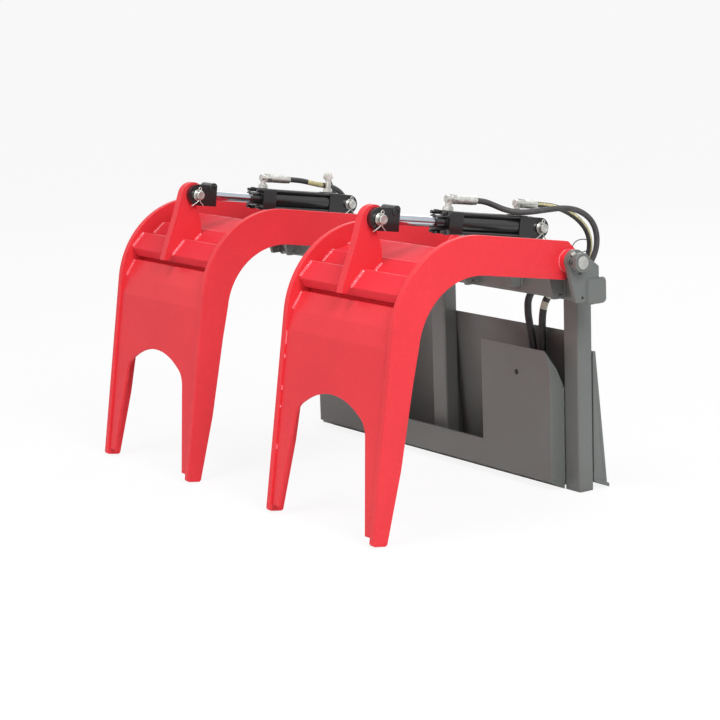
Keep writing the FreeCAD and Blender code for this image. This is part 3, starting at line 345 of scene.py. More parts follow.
def hose_cover(name, colour, line=None, bands=()):
    """Wrapped rubber hose cover. Its UV runs round the hose, and along it in metres."""
    made = Finish(name, colour, roughness=0.5)
    uv = made.node("ShaderNodeTexCoord").outputs["UV"]
    parts = made.node("ShaderNodeSeparateXYZ")
    made.link(uv, parts.inputs[0])
    mottled = made.noise(scale=55.0, detail=4.0)
    base = made.ramp(mottled, 0.3, shaded(colour, 0.75), 0.7, shaded(colour, 1.3))
    if line:
        base = layline(made, parts, base, *line)
    for start, end, tone in bands:
        base = band(made, parts, base, start, end, tone)
    made.colour(base)
    wrap = made.node("ShaderNodeTexWave", wave_type="BANDS", bands_direction="Y", wave_profile="SAW")
    wrap.inputs["Scale"].default_value = 90.0
    wrap.inputs["Distortion"].default_value = 0.6
    made.link(uv, wrap.inputs["Vector"])
    made.bump(wrap.outputs["Fac"], strength=0.18, distance=0.0005)
    made.bump(made.noise(scale=600.0), strength=0.15, distance=0.0003)
    made.rough(made.noise(scale=80.0), low=0.38, high=0.6)
    return made.material


def between(made, source, low, high):
    """A factor that is one where a number lies between two others."""
    above = made.node("ShaderNodeMath", operation="GREATER_THAN")
    above.inputs[1].default_value = low
    below = made.node("ShaderNodeMath", operation="LESS_THAN")
    below.inputs[1].default_value = high
    both = made.node("ShaderNodeMath", operation="MULTIPLY")
    made.link(source, above.inputs[0])
    made.link(source, below.inputs[0])
    made.link(above.outputs[0], both.inputs[0])
    made.link(below.outputs[0], both.inputs[1])
    return both.outputs[0]


def layline(made, parts, base, low, high, tone):
    """A plain pale line along one side of a hose."""
    mask = between(made, parts.outputs["X"], low, high)
    worn = made.noise(scale=140.0, detail=5.0)
    return made.mix(mask, base, made.ramp(worn, 0.35, shaded(tone, 0.55), 0.6, tone))


def band(made, parts, base, start, end, tone):
    """A pale wrap round a hose between two distances from its start."""
    mask = between(made, parts.outputs["Y"], start, end)
    worn = made.noise(scale=90.0, detail=4.0)
    return made.mix(mask, base, made.ramp(worn, 0.3, shaded(tone, 0.7), 0.7, tone))


PALE = (0.55, 0.52, 0.42)
YELLOW = (0.62, 0.56, 0.30)
COVER_BLACK = (0.03, 0.03, 0.032)
SLEEVE_BLACK = (0.02, 0.02, 0.021)
FINISHES = {
    "frame_paint": paint("frame_paint", (0.135, 0.146, 0.139), 0.36, coat=0.2, gloss=0.4),
    "arm_paint": paint("arm_paint", (0.74, 0.036, 0.048), 0.36, coat=0.08, gloss=0.18),
    "arm_skin": paint("arm_skin", (0.74, 0.040, 0.056), 0.45, coat=0.0, gloss=0.06),
    # A lighter, glossier red than the arm paint: painted highlight for the arms' weld beads and the thin lines
    # along the skin's folds.
    "arm_weld": paint("arm_weld", (0.86, 0.13, 0.16), 0.22, coat=0.5, gloss=0.5),
    "cylinder_paint": paint("cylinder_paint", (0.010, 0.010, 0.011), 0.24, coat=0.5, gloss=0.5),
    "rod_chrome": chromed("rod_chrome"),
    "zinc": plated("zinc", (0.60, 0.60, 0.57), 0.36, grain=300.0),
    "bare_steel": plated("bare_steel", (0.42, 0.42, 0.43), 0.4, grain=500.0),
    "piston_iron": plated("piston_iron", (0.22, 0.22, 0.23), 0.5, grain=250.0),
    "black_rubber": hose_cover("black_rubber", (0.028, 0.028, 0.03)),
    "plain_cover": hose_cover("plain_cover", COVER_BLACK),
    "lined_cover": hose_cover("lined_cover", (0.045, 0.043, 0.043)),
    "pale_cover": hose_cover("pale_cover", (0.04, 0.038, 0.035), line=(0.37, 0.5, YELLOW)),
    "yellow_cover": hose_cover("yellow_cover", COVER_BLACK, bands=[(0.07, 0.14, YELLOW)]),
    "plain_sleeve": hose_cover("plain_sleeve", SLEEVE_BLACK),
    "banded_sleeve": hose_cover("banded_sleeve", SLEEVE_BLACK,
                                bands=[(0.012, 0.022, PALE), (0.034, 0.056, PALE)]),
}


# CAD nodes: a finish each, and the small round edge that paint and plate have

EDGE_ROUND = {"frame_paint": 0.0012, "arm_paint": 0.0017, "cylinder_paint": 0.0010, "zinc": 0.0006}
FLAT_SLOTS = ("frame_paint", "arm_paint")
NODE_SHARP = 38
COUPLER_SHARP = 22


def finish_nodes():
    """Give each CAD node its finish, with rounded edges and smooth curves."""
    slots = {part["node"]: part["material_slot"] for part in frame["record"]["subparts"]}
    for name, node in frame["nodes"].items():
        slot = slots[name]
        node.data.materials.clear()
        node.data.materials.append(FINISHES["black_rubber" if slot == "hose_rubber" else slot])
        node["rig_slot"] = slot
        weld = node.modifiers.new("weld", "WELD")
        weld.merge_threshold = 0.00002
        if slot in FLAT_SLOTS:
            flats = node.modifiers.new("flats", "DECIMATE")
            flats.decimate_type = "DISSOLVE"
            flats.angle_limit = math.radians(0.6)
        round_edges(node, EDGE_ROUND.get(slot), COUPLER_SHARP if "coupler" in name else NODE_SHARP)


def round_edges(thing, width, smooth_angle):
    """A small round on a piece's sharp edges, and smooth shading that keeps its flats flat."""
    thing.data.shade_smooth()
    thing.data.set_sharp_from_angle(angle=math.radians(smooth_angle))
    if width:
        bevel = thing.modifiers.new("edges", "BEVEL")
        bevel.width = width
        bevel.segments = 2
        bevel.limit_method = "ANGLE"
        bevel.angle_limit = math.radians(40)
        bevel.use_clamp_overlap = True
    shading = thing.modifiers.new("shading", "WEIGHTED_NORMAL")
    shading.keep_sharp = True
    shading.weight = 60


# Meshes: a shape is a pair of lists, its points in metres and its faces

def add_mesh(name, shape, body, finish, smooth_angle, rounding=None):
    """A new piece that rides on a body, or on none."""
    points, faces = shape
    data = bpy.data.meshes.new(name)
    data.from_pydata(points, [], faces)
    data.validate()
    face_outward(data)
    data.materials.append(FINISHES[finish])
    data.shade_smooth()
    data.set_sharp_from_angle(angle=math.radians(smooth_angle))
    piece = bpy.data.objects.new(name, data)
    bpy.context.scene.collection.objects.link(piece)
    if rounding:
        round_edges(piece, rounding, smooth_angle)
    if body:
        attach(piece, body)
    if finish in RECORD_SLOTS:
        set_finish(piece, finish)
    return piece


def face_outward(data):
    """Turn every face of a closed mesh outward."""
    shell = bmesh.new()
    shell.from_mesh(data)
    bmesh.ops.recalc_face_normals(shell, faces=shell.faces)
    shell.to_mesh(data)
    shell.free()


def merged(shapes):
    """Several shapes as one."""
    points = []
    faces = []
    for more_points, more_faces in shapes:
        start = len(points)
        points += more_points
        faces += [tuple(corner + start for corner in face) for face in more_faces]
    return points, faces


def square_frame(direction):
    """Two directions square to a direction and to each other."""
    along = direction.normalized()
    hint = Vector((0, 0, 1))
    if abs(along.dot(hint)) > 0.95:
        hint = Vector((1, 0, 0))
    first = hint.cross(along).normalized()
    return first, along.cross(first)


def circle(centre, first, second, radius, steps):
    """Even points round a circle that lies along two directions."""
    turns = [2 * math.pi * step / steps for step in range(steps)]
    return [centre + (first * math.cos(turn) + second * math.sin(turn)) * radius for turn in turns]


def closed_tube(rings, sides):
    """The faces of a tube through rings of points, with both ends closed."""
    faces = []
    for low in range(0, (rings - 1) * sides, sides):
        for step in range(sides):
            after = (step + 1) % sides
            faces.append((low + step, low + after, low + sides + after, low + sides + step))
    faces.append(tuple(reversed(range(sides))))
    faces.append(tuple(range((rings - 1) * sides, rings * sides)))
    return faces


def lathed(profile, place, direction, sides):
    """A turned shape. Its profile holds (distance, radius) along the direction, in millimetres."""
    first, second = square_frame(direction)
    along = direction.normalized()
    points = []
    for distance, radius in profile:
        points += circle(place + along * (distance * MM), first, second, radius * MM, sides)
    return points, closed_tube(len(profile), sides)


def hexagon(across, length, chamfer):
    """The profile of a hexagon bar with turned ends, for a lathe with six sides."""
    corner = across / math.sqrt(3)
    slope = chamfer * 0.6
    return [(0, corner - chamfer), (slope, corner), (length - slope, corner), (length, corner - chamfer)]


def wire(path, radius, sides):
    """A round wire along a path. The radius, in metres, may be a function of the point's number."""
    tangents = []
    for index in range(len(path)):
        before = path[max(index - 1, 0)]
        after = path[min(index + 1, len(path) - 1)]
        tangents.append((after - before).normalized())
    first = square_frame(tangents[0])[0]
    points = []
    for index, centre in enumerate(path):
        first = (first - tangents[index] * first.dot(tangents[index])).normalized()
        second = tangents[index].cross(first)
        size = radius(index) if callable(radius) else radius
        points += circle(centre, first, second, size, sides)
    return points, closed_tube(len(path), sides)


def smooth_line(places):
    """The points of a smooth NURBS line that has some places as its control points."""
    data = bpy.data.curves.new("line", "CURVE")
    data.dimensions = "3D"
    data.resolution_u = 10
    spline = data.splines.new("NURBS")
    spline.points.add(len(places) - 1)
    for knot, place in zip(spline.points, places):
        knot.co = (*place, 1)
    spline.order_u = 3
    spline.use_endpoint_u = True
    holder = bpy.data.objects.new("line", data)
    mesh = bpy.data.meshes.new_from_object(holder)
    line = [vertex.co.copy() for vertex in mesh.vertices]
    bpy.data.meshes.remove(mesh)
    bpy.data.objects.remove(holder)
    bpy.data.curves.remove(data)
    return line


# Hoses, in metres. They keep the CAD source's routes, but the right ones follow the photograph low down.

HOSE_SIZE = 0.016
HOSE_SIDES = 20
HOSES = {
    "right_rod_hose": {
        "body": "barrel_right", "length": 0.83, "cover": "lined_cover",
        "route": [
            (0.4503, -0.2311, 0.8069), (0.4506, -0.2040, 0.8031), (0.4550, -0.1770, 0.7920),
            (0.4670, -0.1490, 0.7770), (0.4840, -0.1170, 0.7670), (0.4960, -0.0780, 0.7655),
            (0.5060, -0.0330, 0.7680), (0.5170, 0.0140, 0.7700), (0.5260, 0.0600, 0.7620),
            (0.5320, 0.0990, 0.7380), (0.5340, 0.1220, 0.7020), (0.5310, 0.1280, 0.6560),
            (0.5220, 0.1150, 0.6120), (0.5040, 0.0910, 0.5750), (0.4690, 0.0420, 0.5500),
            (0.4450, 0.0170, 0.5170), (0.4380, 0.0080, 0.4810), (0.4350, 0.0070, 0.4400),
            (0.4350, 0.0070, 0.4000), (0.4368, 0.0063, 0.3630), (0.4370, 0.0060, 0.3313)],
    },
    "right_base_hose": {
        "body": "barrel_right", "length": 0.65, "cover": "pale_cover",
        "route": [
            (0.4503, -0.0231, 0.7776), (0.4510, 0.0080, 0.7730), (0.4550, 0.0440, 0.7655),
            (0.4620, 0.0830, 0.7490), (0.4710, 0.1190, 0.7220), (0.4780, 0.1430, 0.6870),
            (0.4780, 0.1500, 0.6440), (0.4690, 0.1400, 0.6020), (0.4510, 0.1150, 0.5690),
            (0.4170, 0.0620, 0.5580), (0.3880, 0.0330, 0.5440), (0.3720, 0.0110, 0.5110),
            (0.3760, 0.0055, 0.4670), (0.3860, 0.0050, 0.4280), (0.3940, 0.0050, 0.3920),
            (0.3996, 0.0058, 0.3610), (0.4000, 0.0060, 0.3313)],
    },
    "left_rod_hose": {
        "body": "barrel_left", "length": 0.73, "cover": "yellow_cover",
        "route": [
            (-0.4503, -0.2311, 0.8069), (-0.4515, -0.1900, 0.8010), (-0.4580, -0.1480, 0.7900),
            (-0.4690, -0.1060, 0.7790), (-0.4850, -0.0660, 0.7710), (-0.5040, -0.0280, 0.7610),
            (-0.5200, 0.0080, 0.7410), (-0.5310, 0.0370, 0.7090), (-0.5330, 0.0540, 0.6680),
            (-0.5240, 0.0580, 0.6240), (-0.5030, 0.0490, 0.5840), (-0.4750, 0.0350, 0.5490),
            (-0.4450, 0.0210, 0.5160), (-0.4200, 0.0120, 0.4810), (-0.4060, 0.0080, 0.4410),
            (-0.4010, 0.0065, 0.4000), (-0.4003, 0.0060, 0.3630), (-0.4000, 0.0060, 0.3313)],
    },
    "left_base_hose": {
        "body": "barrel_left", "length": 0.60, "cover": "plain_cover",
        "route": [
            (-0.5060, -0.0529, 0.7970), (-0.5360, -0.0357, 0.7946), (-0.5630, -0.0120, 0.7830),
            (-0.5830, 0.0140, 0.7570), (-0.5920, 0.0370, 0.7200), (-0.5890, 0.0520, 0.6780),
            (-0.5730, 0.0560, 0.6360), (-0.5470, 0.0490, 0.5970), (-0.5160, 0.0370, 0.5610),
            (-0.4840, 0.0240, 0.5260), (-0.4590, 0.0135, 0.4870), (-0.4440, 0.0080, 0.4430),
            (-0.4380, 0.0065, 0.4010), (-0.4372, 0.0060, 0.3630), (-0.4370, 0.0060, 0.3313)],
    },
}
SLEEVES = {"right_rod_hose": "banded_sleeve", "right_base_hose": "plain_sleeve"}
SLEEVE_SIZE = 0.0206
SLEEVE_FOOT_Z = 0.345
SLEEVE_TOP_Z = 0.535
SLEEVE_BACK_Y = 0.06
TIE_PATH = [
    (0.480, 0.141, 0.640), (0.480, 0.150, 0.655), (0.480, 0.139, 0.667), (0.479, 0.118, 0.671),
    (0.478, 0.098, 0.668), (0.477, 0.084, 0.656), (0.478, 0.088, 0.640), (0.480, 0.108, 0.634),
    (0.480, 0.130, 0.635), (0.480, 0.141, 0.640)]
TIE_RADIUS = 0.0014
SOFT_SHARP = 60


def make_hoses():
    """Each hose as a tube along its smooth route, in place of its hidden CAD node."""
    for name, facts in HOSES.items():
        line = smooth_line(facts["route"])
        piece = hose_tube(name + "_cover", line, HOSE_SIZE / 2, facts["cover"])
        if name in SLEEVES:
            hose_tube(name + "_sleeve", [place for place in line if in_sleeve(place)],
                                   SLEEVE_SIZE / 2, SLEEVES[name])
        if name == "right_base_hose":
            hose_tie()
        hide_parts(name)


def in_sleeve(place):
    """Whether a point of a hose lies on its lower run, which a sleeve covers."""
    return SLEEVE_FOOT_Z < place.z < SLEEVE_TOP_Z and place.y < SLEEVE_BACK_Y


def hose_tube(name, line, radius, cover):
    """One tube along a line, with UVs along it, its place baked into its mesh."""
    piece = add_mesh(name, wire(line, radius, HOSE_SIDES), None, cover, SOFT_SHARP)
    lay_out(piece.data, line)
    bend(piece)
    return piece


def hose_tie():
    """The thin loop tied round the near base hose, its long end bowed out."""
    loop = wire(smooth_line(TIE_PATH), TIE_RADIUS, 10)
    piece = add_mesh("hose_tie", loop, None, "black_rubber", SOFT_SHARP)
    bend(piece)
    return piece


def bend(piece):
    """Bake a piece's place into its mesh and give it the hose rubber slot."""
    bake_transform(piece)
    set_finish(piece, "hose_rubber")


def lay_out(data, line):
    """UVs round a hose and along it, in metres along it."""
    along = [0.0]
    for before, after in zip(line, line[1:]):
        along.append(along[-1] + (after - before).length)
    layer = data.uv_layers.new(name="UVMap")
    for face in data.polygons:
        for corner in face.loop_indices:
            ring, step = divmod(data.loops[corner].vertex_index, HOSE_SIDES)
            layer.data[corner].uv = (step / HOSE_SIDES, along[ring])


# Arm sheets, in millimetres of the arm's own frame

SIDE_INSIDE = 227.1
SIDE_OUTSIDE = 246.1
SHEET = 9.5
SKIN_OUTLINE = [
    (305, 4), (414, -33), (448, -71), (480, -66), (518, -114), (500, -135), (478, -139),
    (478, -158), (470, -158), (459, -84), (444, -84), (407, -42), (303, -5)]
LUG_FOOT_HALF = 12.4
LUG_FOOT_OUTLINE = [
    (441.5, 16), (480, -10), (510, -44), (532, -92), (540, -118), (541, -131),
    (533, -131), (516, -115), (479, -69), (448, -75), (424, -46), (431, -12)]
PANEL_FOOT_W = -724.5
PANEL_PROFILE = [(-250, 540), (-200, 530), (-147, 505)]
ARCH_FOOT_X = 198
ARCH_SHOULDER = (160, -475)
ARCH_SPRING = (125, -430.4)
SHOULDER_CENTRE = (99.1, -486.7)
SHOULDER_RADIUS = 62
CROWN_CENTRE = (0, -627)
CROWN_RADIUS = 233
SHEET_SHARP = 5
SHEET_ROUND = 0.0012
SKIN_ROUND = 0.0014


def drawn_across(sign, outline, half):
    """A shape with an arm's (u, w) outline, drawn out to both sides of the arm's middle."""
    count = len(outline)
    points = [on_arm(sign, x, u, w) for x in (-half, half) for u, w in outline]
    faces = [tuple(range(count)), tuple(reversed(range(count, 2 * count)))]
    for index in range(count):
        after = (index + 1) % count
        faces.append((index, index + count, after + count, after))
    return points, faces


def arc(centre, radius, start, end, steps):
    """Points along an arc, by angles in radians."""
    turns = [start + (end - start) * step / steps for step in range(steps + 1)]
    return [(centre[0] + radius * math.cos(turn), centre[1] + radius * math.sin(turn)) for turn in turns]


def bearing(centre, point):
    """The angle at which a point lies from a centre."""
    return math.atan2(point[1] - centre[1], point[0] - centre[0])


def arch_curve():
    """The arch between the tines, from one side's foot to the other's, as (x, w)."""
    spring = bearing(CROWN_CENTRE, ARCH_SPRING)
    crown = arc(CROWN_CENTRE, CROWN_RADIUS, spring, math.pi - spring, 20)
    shoulder = arc(SHOULDER_CENTRE, SHOULDER_RADIUS, bearing(SHOULDER_CENTRE, ARCH_SHOULDER),
                   bearing(SHOULDER_CENTRE, ARCH_SPRING), 6)
    right = [(ARCH_FOOT_X, PANEL_FOOT_W)] + shoulder
    left = [(-x, w) for x, w in reversed(right)]
    return right + crown[1:-1] + left


def front_panel(side, sign):
    """The bent plate between the tines, cut to its arch."""
    low = [(SIDE_INSIDE, PANEL_FOOT_W)] + arch_curve() + [(-SIDE_INSIDE, PANEL_FOOT_W)]
    face = [(x, w, PANEL_PROFILE[0][1]) for x, w in low]
    for w, u in PANEL_PROFILE:
        face += [(-SIDE_INSIDE, w, u), (SIDE_INSIDE, w, u)]
    count = len(low)
    total = len(face)
    points = [on_arm(sign, x, u - depth, w) for depth in (0, SHEET) for x, w, u in face]
    front = [tuple(range(count + 2))]
    for first in range(count, total - 2, 2):
        front.append((first + 1, first, first + 2, first + 3))
    faces = front + [tuple(corner + total for corner in reversed(panel)) for panel in front]
    rim = list(range(count)) + list(range(count, total, 2)) + list(range(total - 1, count, -2))
    for one, two in zip(rim, rim[1:] + rim[:1]):
        faces.append((two, one, one + total, two + total))
    piece = add_mesh(side + "_front_panel", (points, faces), "arm_" + side, "arm_paint", SHEET_SHARP,
                     SHEET_ROUND)
    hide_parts(side + "_arm_front_plate")


def folded_skin(side, sign):
    """The folded skin over the elbow, recessed between the side plates."""
    shape = drawn_across(sign, SKIN_OUTLINE, SIDE_INSIDE)
    skin = add_mesh(side + "_folded_skin", shape, "arm_" + side, "arm_skin", SHEET_SHARP, SKIN_ROUND)
    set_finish(skin, "arm_paint")
    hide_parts(side + "_arm_upper_skin")


def lug_foot(side, sign):
    """The lug's foot, which stands on the folded skin."""
    shape = drawn_across(sign, LUG_FOOT_OUTLINE, LUG_FOOT_HALF)
    add_mesh(side + "_lug_foot", shape, "arm_" + side, "arm_paint", 30, SHEET_ROUND)


# Welds of an arm, in millimetres: where a bead starts and ends as (u, w), and its size. Welds and the thin lines
# along the folds take a lighter red, a painted highlight.

BEAD_SHARP = 70
BEAD_SIDES = 8
BEAD_STEP = 0.5
BEAD_TIP = 0.55
BEAD_SWELL = 0.25
RIPPLE = 0.3
RIPPLE_STEPS = 1.5
UNEVEN = 0.22
UNEVEN_SCALE = 90.0
SEED_SCALE = 40.0
RING_STEPS = 40
SIDE_BEAD_X = SIDE_INSIDE - 2.0
SIDE_BEADS = (
    ((448, -68), (414, -32), 5.6), ((482, -67), (516, -110), 5.8),
    ((372, -17), (361, -13), 4.8), ((506, -149), (530, -198), 4.6))
LUG_BEAD_X = 14.5
LUG_BEADS = (((483, -69), (519, -115), 6.4), ((448, -70), (428, -48), 6.2))
PANEL_SEAM_U = 541
PANEL_SEAMS = ((-255, -292), (-318, -330), (-402, -416), (-455, -463), (-560, -575))
PANEL_SEAM_SIZE = 2.6
# Thin wires along the skin's rear edge and its two folds, in the lighter red: painted highlight lines, as (u, w,
# radius).
FOLD_HIGHLIGHT_LINES = ((305.5, 3.2, 1.5), (303.5, -4.2, 1.5), (413.6, -33.4, 0.9), (479.6, -66.5, 0.9))
TUBE_BEAD_RADIUS = 29.6
TUBE_BEAD_SIZE = 1.7
TUBE_BEADS_X = (-SIDE_OUTSIDE - 0.5, -SIDE_INSIDE + 0.5, SIDE_INSIDE - 0.5, SIDE_OUTSIDE + 0.5)


def stepped(points, step):
    """Points at even steps along straight runs."""
    out = []
    for before, after in zip(points, points[1:]):
        count = max(1, round((after - before).length / step))
        out += [before.lerp(after, index / count) for index in range(count)]
    return out + [points[-1]]


def bead(points, size):
    """A weld bead along a path: a rippled, slightly uneven wire, its size in millimetres."""
    line = stepped(points, size * MM * BEAD_STEP)
    seed = line[0] * SEED_SCALE

    def girth(index):
        ends = min(1.0, BEAD_TIP + BEAD_SWELL * min(index, len(line) - 1 - index))
        ripple = 1.0 + RIPPLE * math.sin(index * math.pi / RIPPLE_STEPS)
        uneven = 1.0 + UNEVEN * noise.noise(line[index] * UNEVEN_SCALE + seed)
        return size * MM * ends * ripple * uneven
    return wire(line, girth, BEAD_SIDES)


def arm_bead(sign, x, start, end, size):
    """A straight bead at one station across an arm, between two (u, w) places."""
    return bead([on_arm(sign, x, *start), on_arm(sign, x, *end)], size)


def ring_bead(centre, radius, size):
    """A weld bead round a tube that lies across the machine."""
    ring = circle(centre, *square_frame(ACROSS), radius * MM, RING_STEPS)
    return bead(ring + ring[:1], size)


def dress_arm(side, sign):
    """Sheets and welds of one arm, and thin wires along the skin's folds and rear edge as painted highlight lines;
    welds and wires take the lighter red of painted highlight.
    """
    front_panel(side, sign)
    folded_skin(side, sign)
    lug_foot(side, sign)
    beads = []
    for x in (-SIDE_BEAD_X, SIDE_BEAD_X):
        beads += [arm_bead(sign, x, *facts) for facts in SIDE_BEADS]
    for top, foot in PANEL_SEAMS:
        beads.append(arm_bead(sign, -SIDE_INSIDE, (PANEL_SEAM_U, top), (PANEL_SEAM_U, foot), PANEL_SEAM_SIZE))
    for x in (-LUG_BEAD_X, LUG_BEAD_X):
        beads += [arm_bead(sign, x, *facts) for facts in LUG_BEADS]
    # Painted highlight lines along the skin's rear edge and folds.
    for u, w, size in FOLD_HIGHLIGHT_LINES:
        highlight_line = [on_arm(sign, x, u, w) for x in (-SIDE_INSIDE, SIDE_INSIDE)]
        beads.append(wire(highlight_line, size * MM, BEAD_SIDES))
    for x in TUBE_BEADS_X:
        beads.append(ring_bead(on_arm(sign, x, 0, 0), TUBE_BEAD_RADIUS, TUBE_BEAD_SIZE))
    # Welds and painted highlight lines share the lighter red that stands for highlights.
    welds = add_mesh(side + "_arm_welds_and_highlight_lines", merged(beads), "arm_" + side, "arm_weld", BEAD_SHARP)
    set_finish(welds, "arm_paint")


# Cylinder details, in millimetres

TRIM_SHARP = 35
PIN_X = 29.0
PIN_COLLAR = [(0, 15.8), (0.8, 16.8), (3.2, 16.8), (4.0, 15.8)]
PIN_SHANK = [(3.0, 12.6), (16.5, 12.6), (18.2, 11.2), (18.2, 6.8), (17.6, 6.2)]
SPLIT_PIN_X = PIN_X + 9.0
SPLIT_PIN_EYE = [(0, 11), (4.5, 16), (5.0, 20), (0, 24), (-5.0, 20), (-4.5, 16), (0, 11.5)]
SPLIT_PIN_LEGS = (
    [(0, -10), (2, -16), (12, -24), (25, -33)],
    [(0, -10), (-1, -16), (-7, -23), (-14, -29)])
EYE_RADIUS = 1.3
LEG_RADIUS = 1.4
SCREW_X = 28.4
SCREW_BACK = 49
SCREW_UP = 21
SCREW_HEAD = [(0, 11.2), (2.2, 11.2), (3.2, 10.2), (3.2, 7.0), (0.6, 6.4)]
ROD_PORT_S = 302.0
BASE_PORT_S = 66.0
PORT_TOP = 31
JAM_NUT = hexagon(27, 9, 1.5)
JAM_FACE = [(9, 12.5), (11.5, 12.5), (12, 12)]
CRIMP_START = 26
CRIMP_PITCH = 7
CRIMP_UP = 62
CRIMP = [(0, 11.8), (0.8, 12.7), (3.2, 12.7), (4.0, 11.8)]
ROD_CRIMPS = 8
BASE_CRIMPS = 5


def pin_end(sign, s):
    """A pin's collar, its long end and the split pin through it, on its +x end."""
    place = on_cylinder(sign, PIN_X, s, 0)
    shapes = [lathed(PIN_COLLAR, place, ACROSS, 36), lathed(PIN_SHANK, place, ACROSS, 36)]
    for path, radius in ((SPLIT_PIN_EYE, EYE_RADIUS), *((leg, LEG_RADIUS) for leg in SPLIT_PIN_LEGS)):
        line = smooth_line([on_cylinder(sign, SPLIT_PIN_X, s + along, up) for along, up in path])
        shapes.append(wire(line, radius * MM, 10))
    return merged(shapes)


def port_trim(sign, port, count):
    """The jam nut at a port and the pressed rings round its hose's ferrule."""
    place = on_cylinder(sign, 0, port, PORT_TOP)
    shapes = [lathed(JAM_NUT, place, ABOVE_CYLINDER, 6), lathed(JAM_FACE, place, ABOVE_CYLINDER, 32)]
    for step in range(count):
        place = on_cylinder(sign, 0, port - CRIMP_START - step * CRIMP_PITCH, CRIMP_UP)
        shapes.append(lathed(CRIMP, place, TOWARDS_BASE, 32))
    return shapes


def dress_cylinder(side, sign):
    """Pin ends, pinch screw, crimps and jam nuts of one cylinder."""
    add_mesh(side + "_rod_pin_trim", pin_end(sign, CYLINDER_LENGTH), "rod_" + side, "zinc", TRIM_SHARP)
    add_mesh(side + "_base_pin_trim", pin_end(sign, 0), "frame", "zinc", TRIM_SHARP)
    screw = lathed(SCREW_HEAD, on_cylinder(sign, SCREW_X, CYLINDER_LENGTH - SCREW_BACK, SCREW_UP), ACROSS, 32)
    add_mesh(side + "_pinch_screw", screw, "rod_" + side, "cylinder_paint", TRIM_SHARP)
    ports = port_trim(sign, ROD_PORT_S, ROD_CRIMPS)
    ports += port_trim(sign, BASE_PORT_S, BASE_CRIMPS if side == "right" else 0)
    add_mesh(side + "_port_trim", merged(ports), "barrel_" + side, "zinc", 25)


# Frame details, in millimetres

POST_HALF = 31.75
POST_FACE = 25.4
POST_X = 590.55
BEAM_TOP_Z = 605.5
BEAM_FOOT_Z = 542.0
BEAM_FRONT_Y = -88.9
BEAM_END_X = 735.3
BEAD_X_MOST = 730
EAR_REACH = (184.7, 273.65)
EAR_HALF = 7.6
EAR_BACK_Y = -47
EAR_FOOT_Z = 550
LUG_HALF = 15.8
LUG_BACK_Y = -27
LUG_BEAD_FOOT_Z = 563
CAP_CORNER = 21.75
CAP_ROUND = 10.2
PLATE_BEAD_X = 558.0
GUSSET_BEAD_X = 622.3


def over_and_down(x, back_y, drop, foot_z, size):
    """Two beads on the beam at a plate's edge: over its top, and down its front."""
    over = [on_frame(x, y, BEAM_TOP_Z + 1) for y in (back_y, BEAM_FRONT_Y)]
    down = [on_frame(x, BEAM_FRONT_Y - 1, z) for z in (BEAM_TOP_Z - drop, foot_z)]
    return [bead(over, size), bead(down, size - 0.2)]


def cap_bead(sign):
    """The bead round the beam at one of its end caps."""
    middle_y = (BEAM_FRONT_Y - POST_FACE) / 2
    middle_z = (BEAM_TOP_Z + BEAM_FOOT_Z) / 2
    loop = []
    for turn, (a, b) in enumerate(((1, 1), (-1, 1), (-1, -1), (1, -1))):
        centre = (middle_y + a * CAP_CORNER, middle_z + b * CAP_CORNER)
        loop += arc(centre, CAP_ROUND, turn * math.pi / 2, (turn + 1) * math.pi / 2, 6)
    loop.append(loop[0])
    return bead([on_frame(sign * (BEAM_END_X - 5), y, z) for y, z in loop], 2.8)


def beam_beads():
    """Beads round the ears, the lugs and the caps on the beam."""
    beads = []
    ears = [sign * (ARM_X + out * reach) for sign in (1, -1) for out in (1, -1) for reach in EAR_REACH]
    for edge in [x + half for x in ears for half in (-EAR_HALF, EAR_HALF)]:
        if abs(edge) < BEAD_X_MOST:
            beads += over_and_down(edge, EAR_BACK_Y, 4, EAR_FOOT_Z, 3.2)
    for sign in (1, -1):
        for half in (-LUG_HALF, LUG_HALF):
            beads += over_and_down(sign * ARM_X + half, LUG_BACK_Y, 3, LUG_BEAD_FOOT_Z, 3.4)
        beads.append(cap_bead(sign))
    return beads


def post_beads():
    """Beads where the posts meet the beam, the coupler plates and the gussets."""
    beads = []
    front = -POST_FACE - 0.5
    for middle in (-POST_X, 0, POST_X):
        for x in (middle - POST_HALF, middle + POST_HALF):
            beads.append(bead([on_frame(x, front, z) for z in (BEAM_FOOT_Z + 6, BEAM_TOP_Z - 8)], 3.0))
    for sign in (1, -1):
        plate = [on_frame(sign * PLATE_BEAD_X, -POST_FACE - 1.5, z) for z in (24, 286)]
        gusset = [on_frame(sign * GUSSET_BEAD_X, POST_FACE + 0.5, z) for z in (55, 380)]
        beads += [bead(plate, 2.8), bead(gusset, 2.0)]
    return beads


# Hinge trim, in millimetres

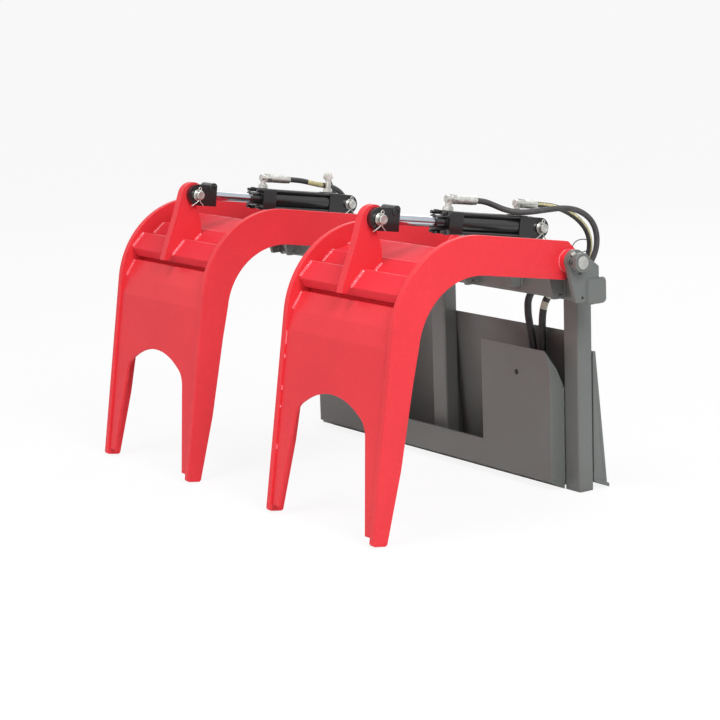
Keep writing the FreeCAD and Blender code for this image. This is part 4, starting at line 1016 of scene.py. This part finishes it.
BOSS_FACE = 280.0
BOSS_LENGTH = 26.8
BOSS_BEAD_RADIUS = 27.0
PIN_RING = [(0, 16.8), (0.4, 17.3), (1.8, 17.3), (2.4, 16.8), (2.4, 15.0)]
BOLT_REACH = 289.0
BOLT_DIRECTION = Vector((0, -0.62, 0.78))
BOLT_HEAD = [(distance + 25.2, radius) for distance, radius in hexagon(12.5, 7.5, 1.0)]
NIPPLE_DIRECTION = Vector((0, -0.97, 0.1))
NIPPLE = [(24.5, 6.2), (28.0, 6.2), (30.5, 4.5), (31.5, 2.0)]
# A thin black disc on the outer ear's face where its pin-retaining hole shows dark: painted shade of the hole.
EAR_HOLE_SHADE_PLACE = (730.3, -111.7, 628.1)
EAR_HOLE_SHADE_DISC = [(0, 6.2), (0.6, 6.2), (0.6, 4.5), (0.3, 4.4)]


def boss_point(sign, out, reach):
    """A point on an arm's hinge line, outboard of the arm's middle or inboard of it."""
    return on_frame(sign * (ARM_X + out * reach), HINGE_Y, HINGE_Z)


def boss_trim(sign, out):
    """Zinc parts, dark parts and welds on one of an arm's two hinge bosses. On the outer boss a thin black disc on
    the ear stands for its pin hole: painted shade.
    """
    outward = Vector((sign * out, 0, 0))
    ring = lathed(PIN_RING, boss_point(sign, out, BOSS_FACE + BOSS_LENGTH), outward, 40)
    bolt = lathed(BOLT_HEAD, boss_point(sign, out, BOLT_REACH), BOLT_DIRECTION, 6)
    nipple = lathed(NIPPLE, boss_point(sign, out, BOLT_REACH), NIPPLE_DIRECTION, 20)
    weld = ring_bead(boss_point(sign, out, BOSS_FACE + 1), BOSS_BEAD_RADIUS, 2.6)
    if out < 0:
        return [ring, bolt], [nipple], [weld]
    x, y, z = EAR_HOLE_SHADE_PLACE
    hole_shade = lathed(EAR_HOLE_SHADE_DISC, on_frame(sign * x, y, z), outward, 24)
    return [ring, bolt], [hole_shade, nipple], [weld]


def dress_frame():
    """Welds and trim of the fixed frame."""
    beads = beam_beads() + post_beads()
    zincs = []
    darks = []
    for sign, out in ((1, 1), (1, -1), (-1, 1), (-1, -1)):
        more_zincs, more_darks, more_beads = boss_trim(sign, out)
        zincs += more_zincs
        darks += more_darks
        beads += more_beads
    add_mesh("frame_welds", merged(beads), "frame", "frame_paint", BEAD_SHARP)
    add_mesh("hinge_trim", merged(zincs), "frame", "zinc", 30)
    # Grease nipples, and the black discs of painted shade for the ear holes.
    add_mesh("hinge_nipples_and_hole_shades", merged(darks), "frame", "black_rubber", 30)


bpy.context.scene.view_settings.view_transform = "Standard"
make_camera()
for name, facts in LAMPS.items():
    make_lamp(name, facts)
make_world()
make_floor()
make_hoses()
finish_nodes()
for side, sign in SIDES:
    dress_arm(side, sign)
    dress_cylinder(side, sign)
dress_frame()
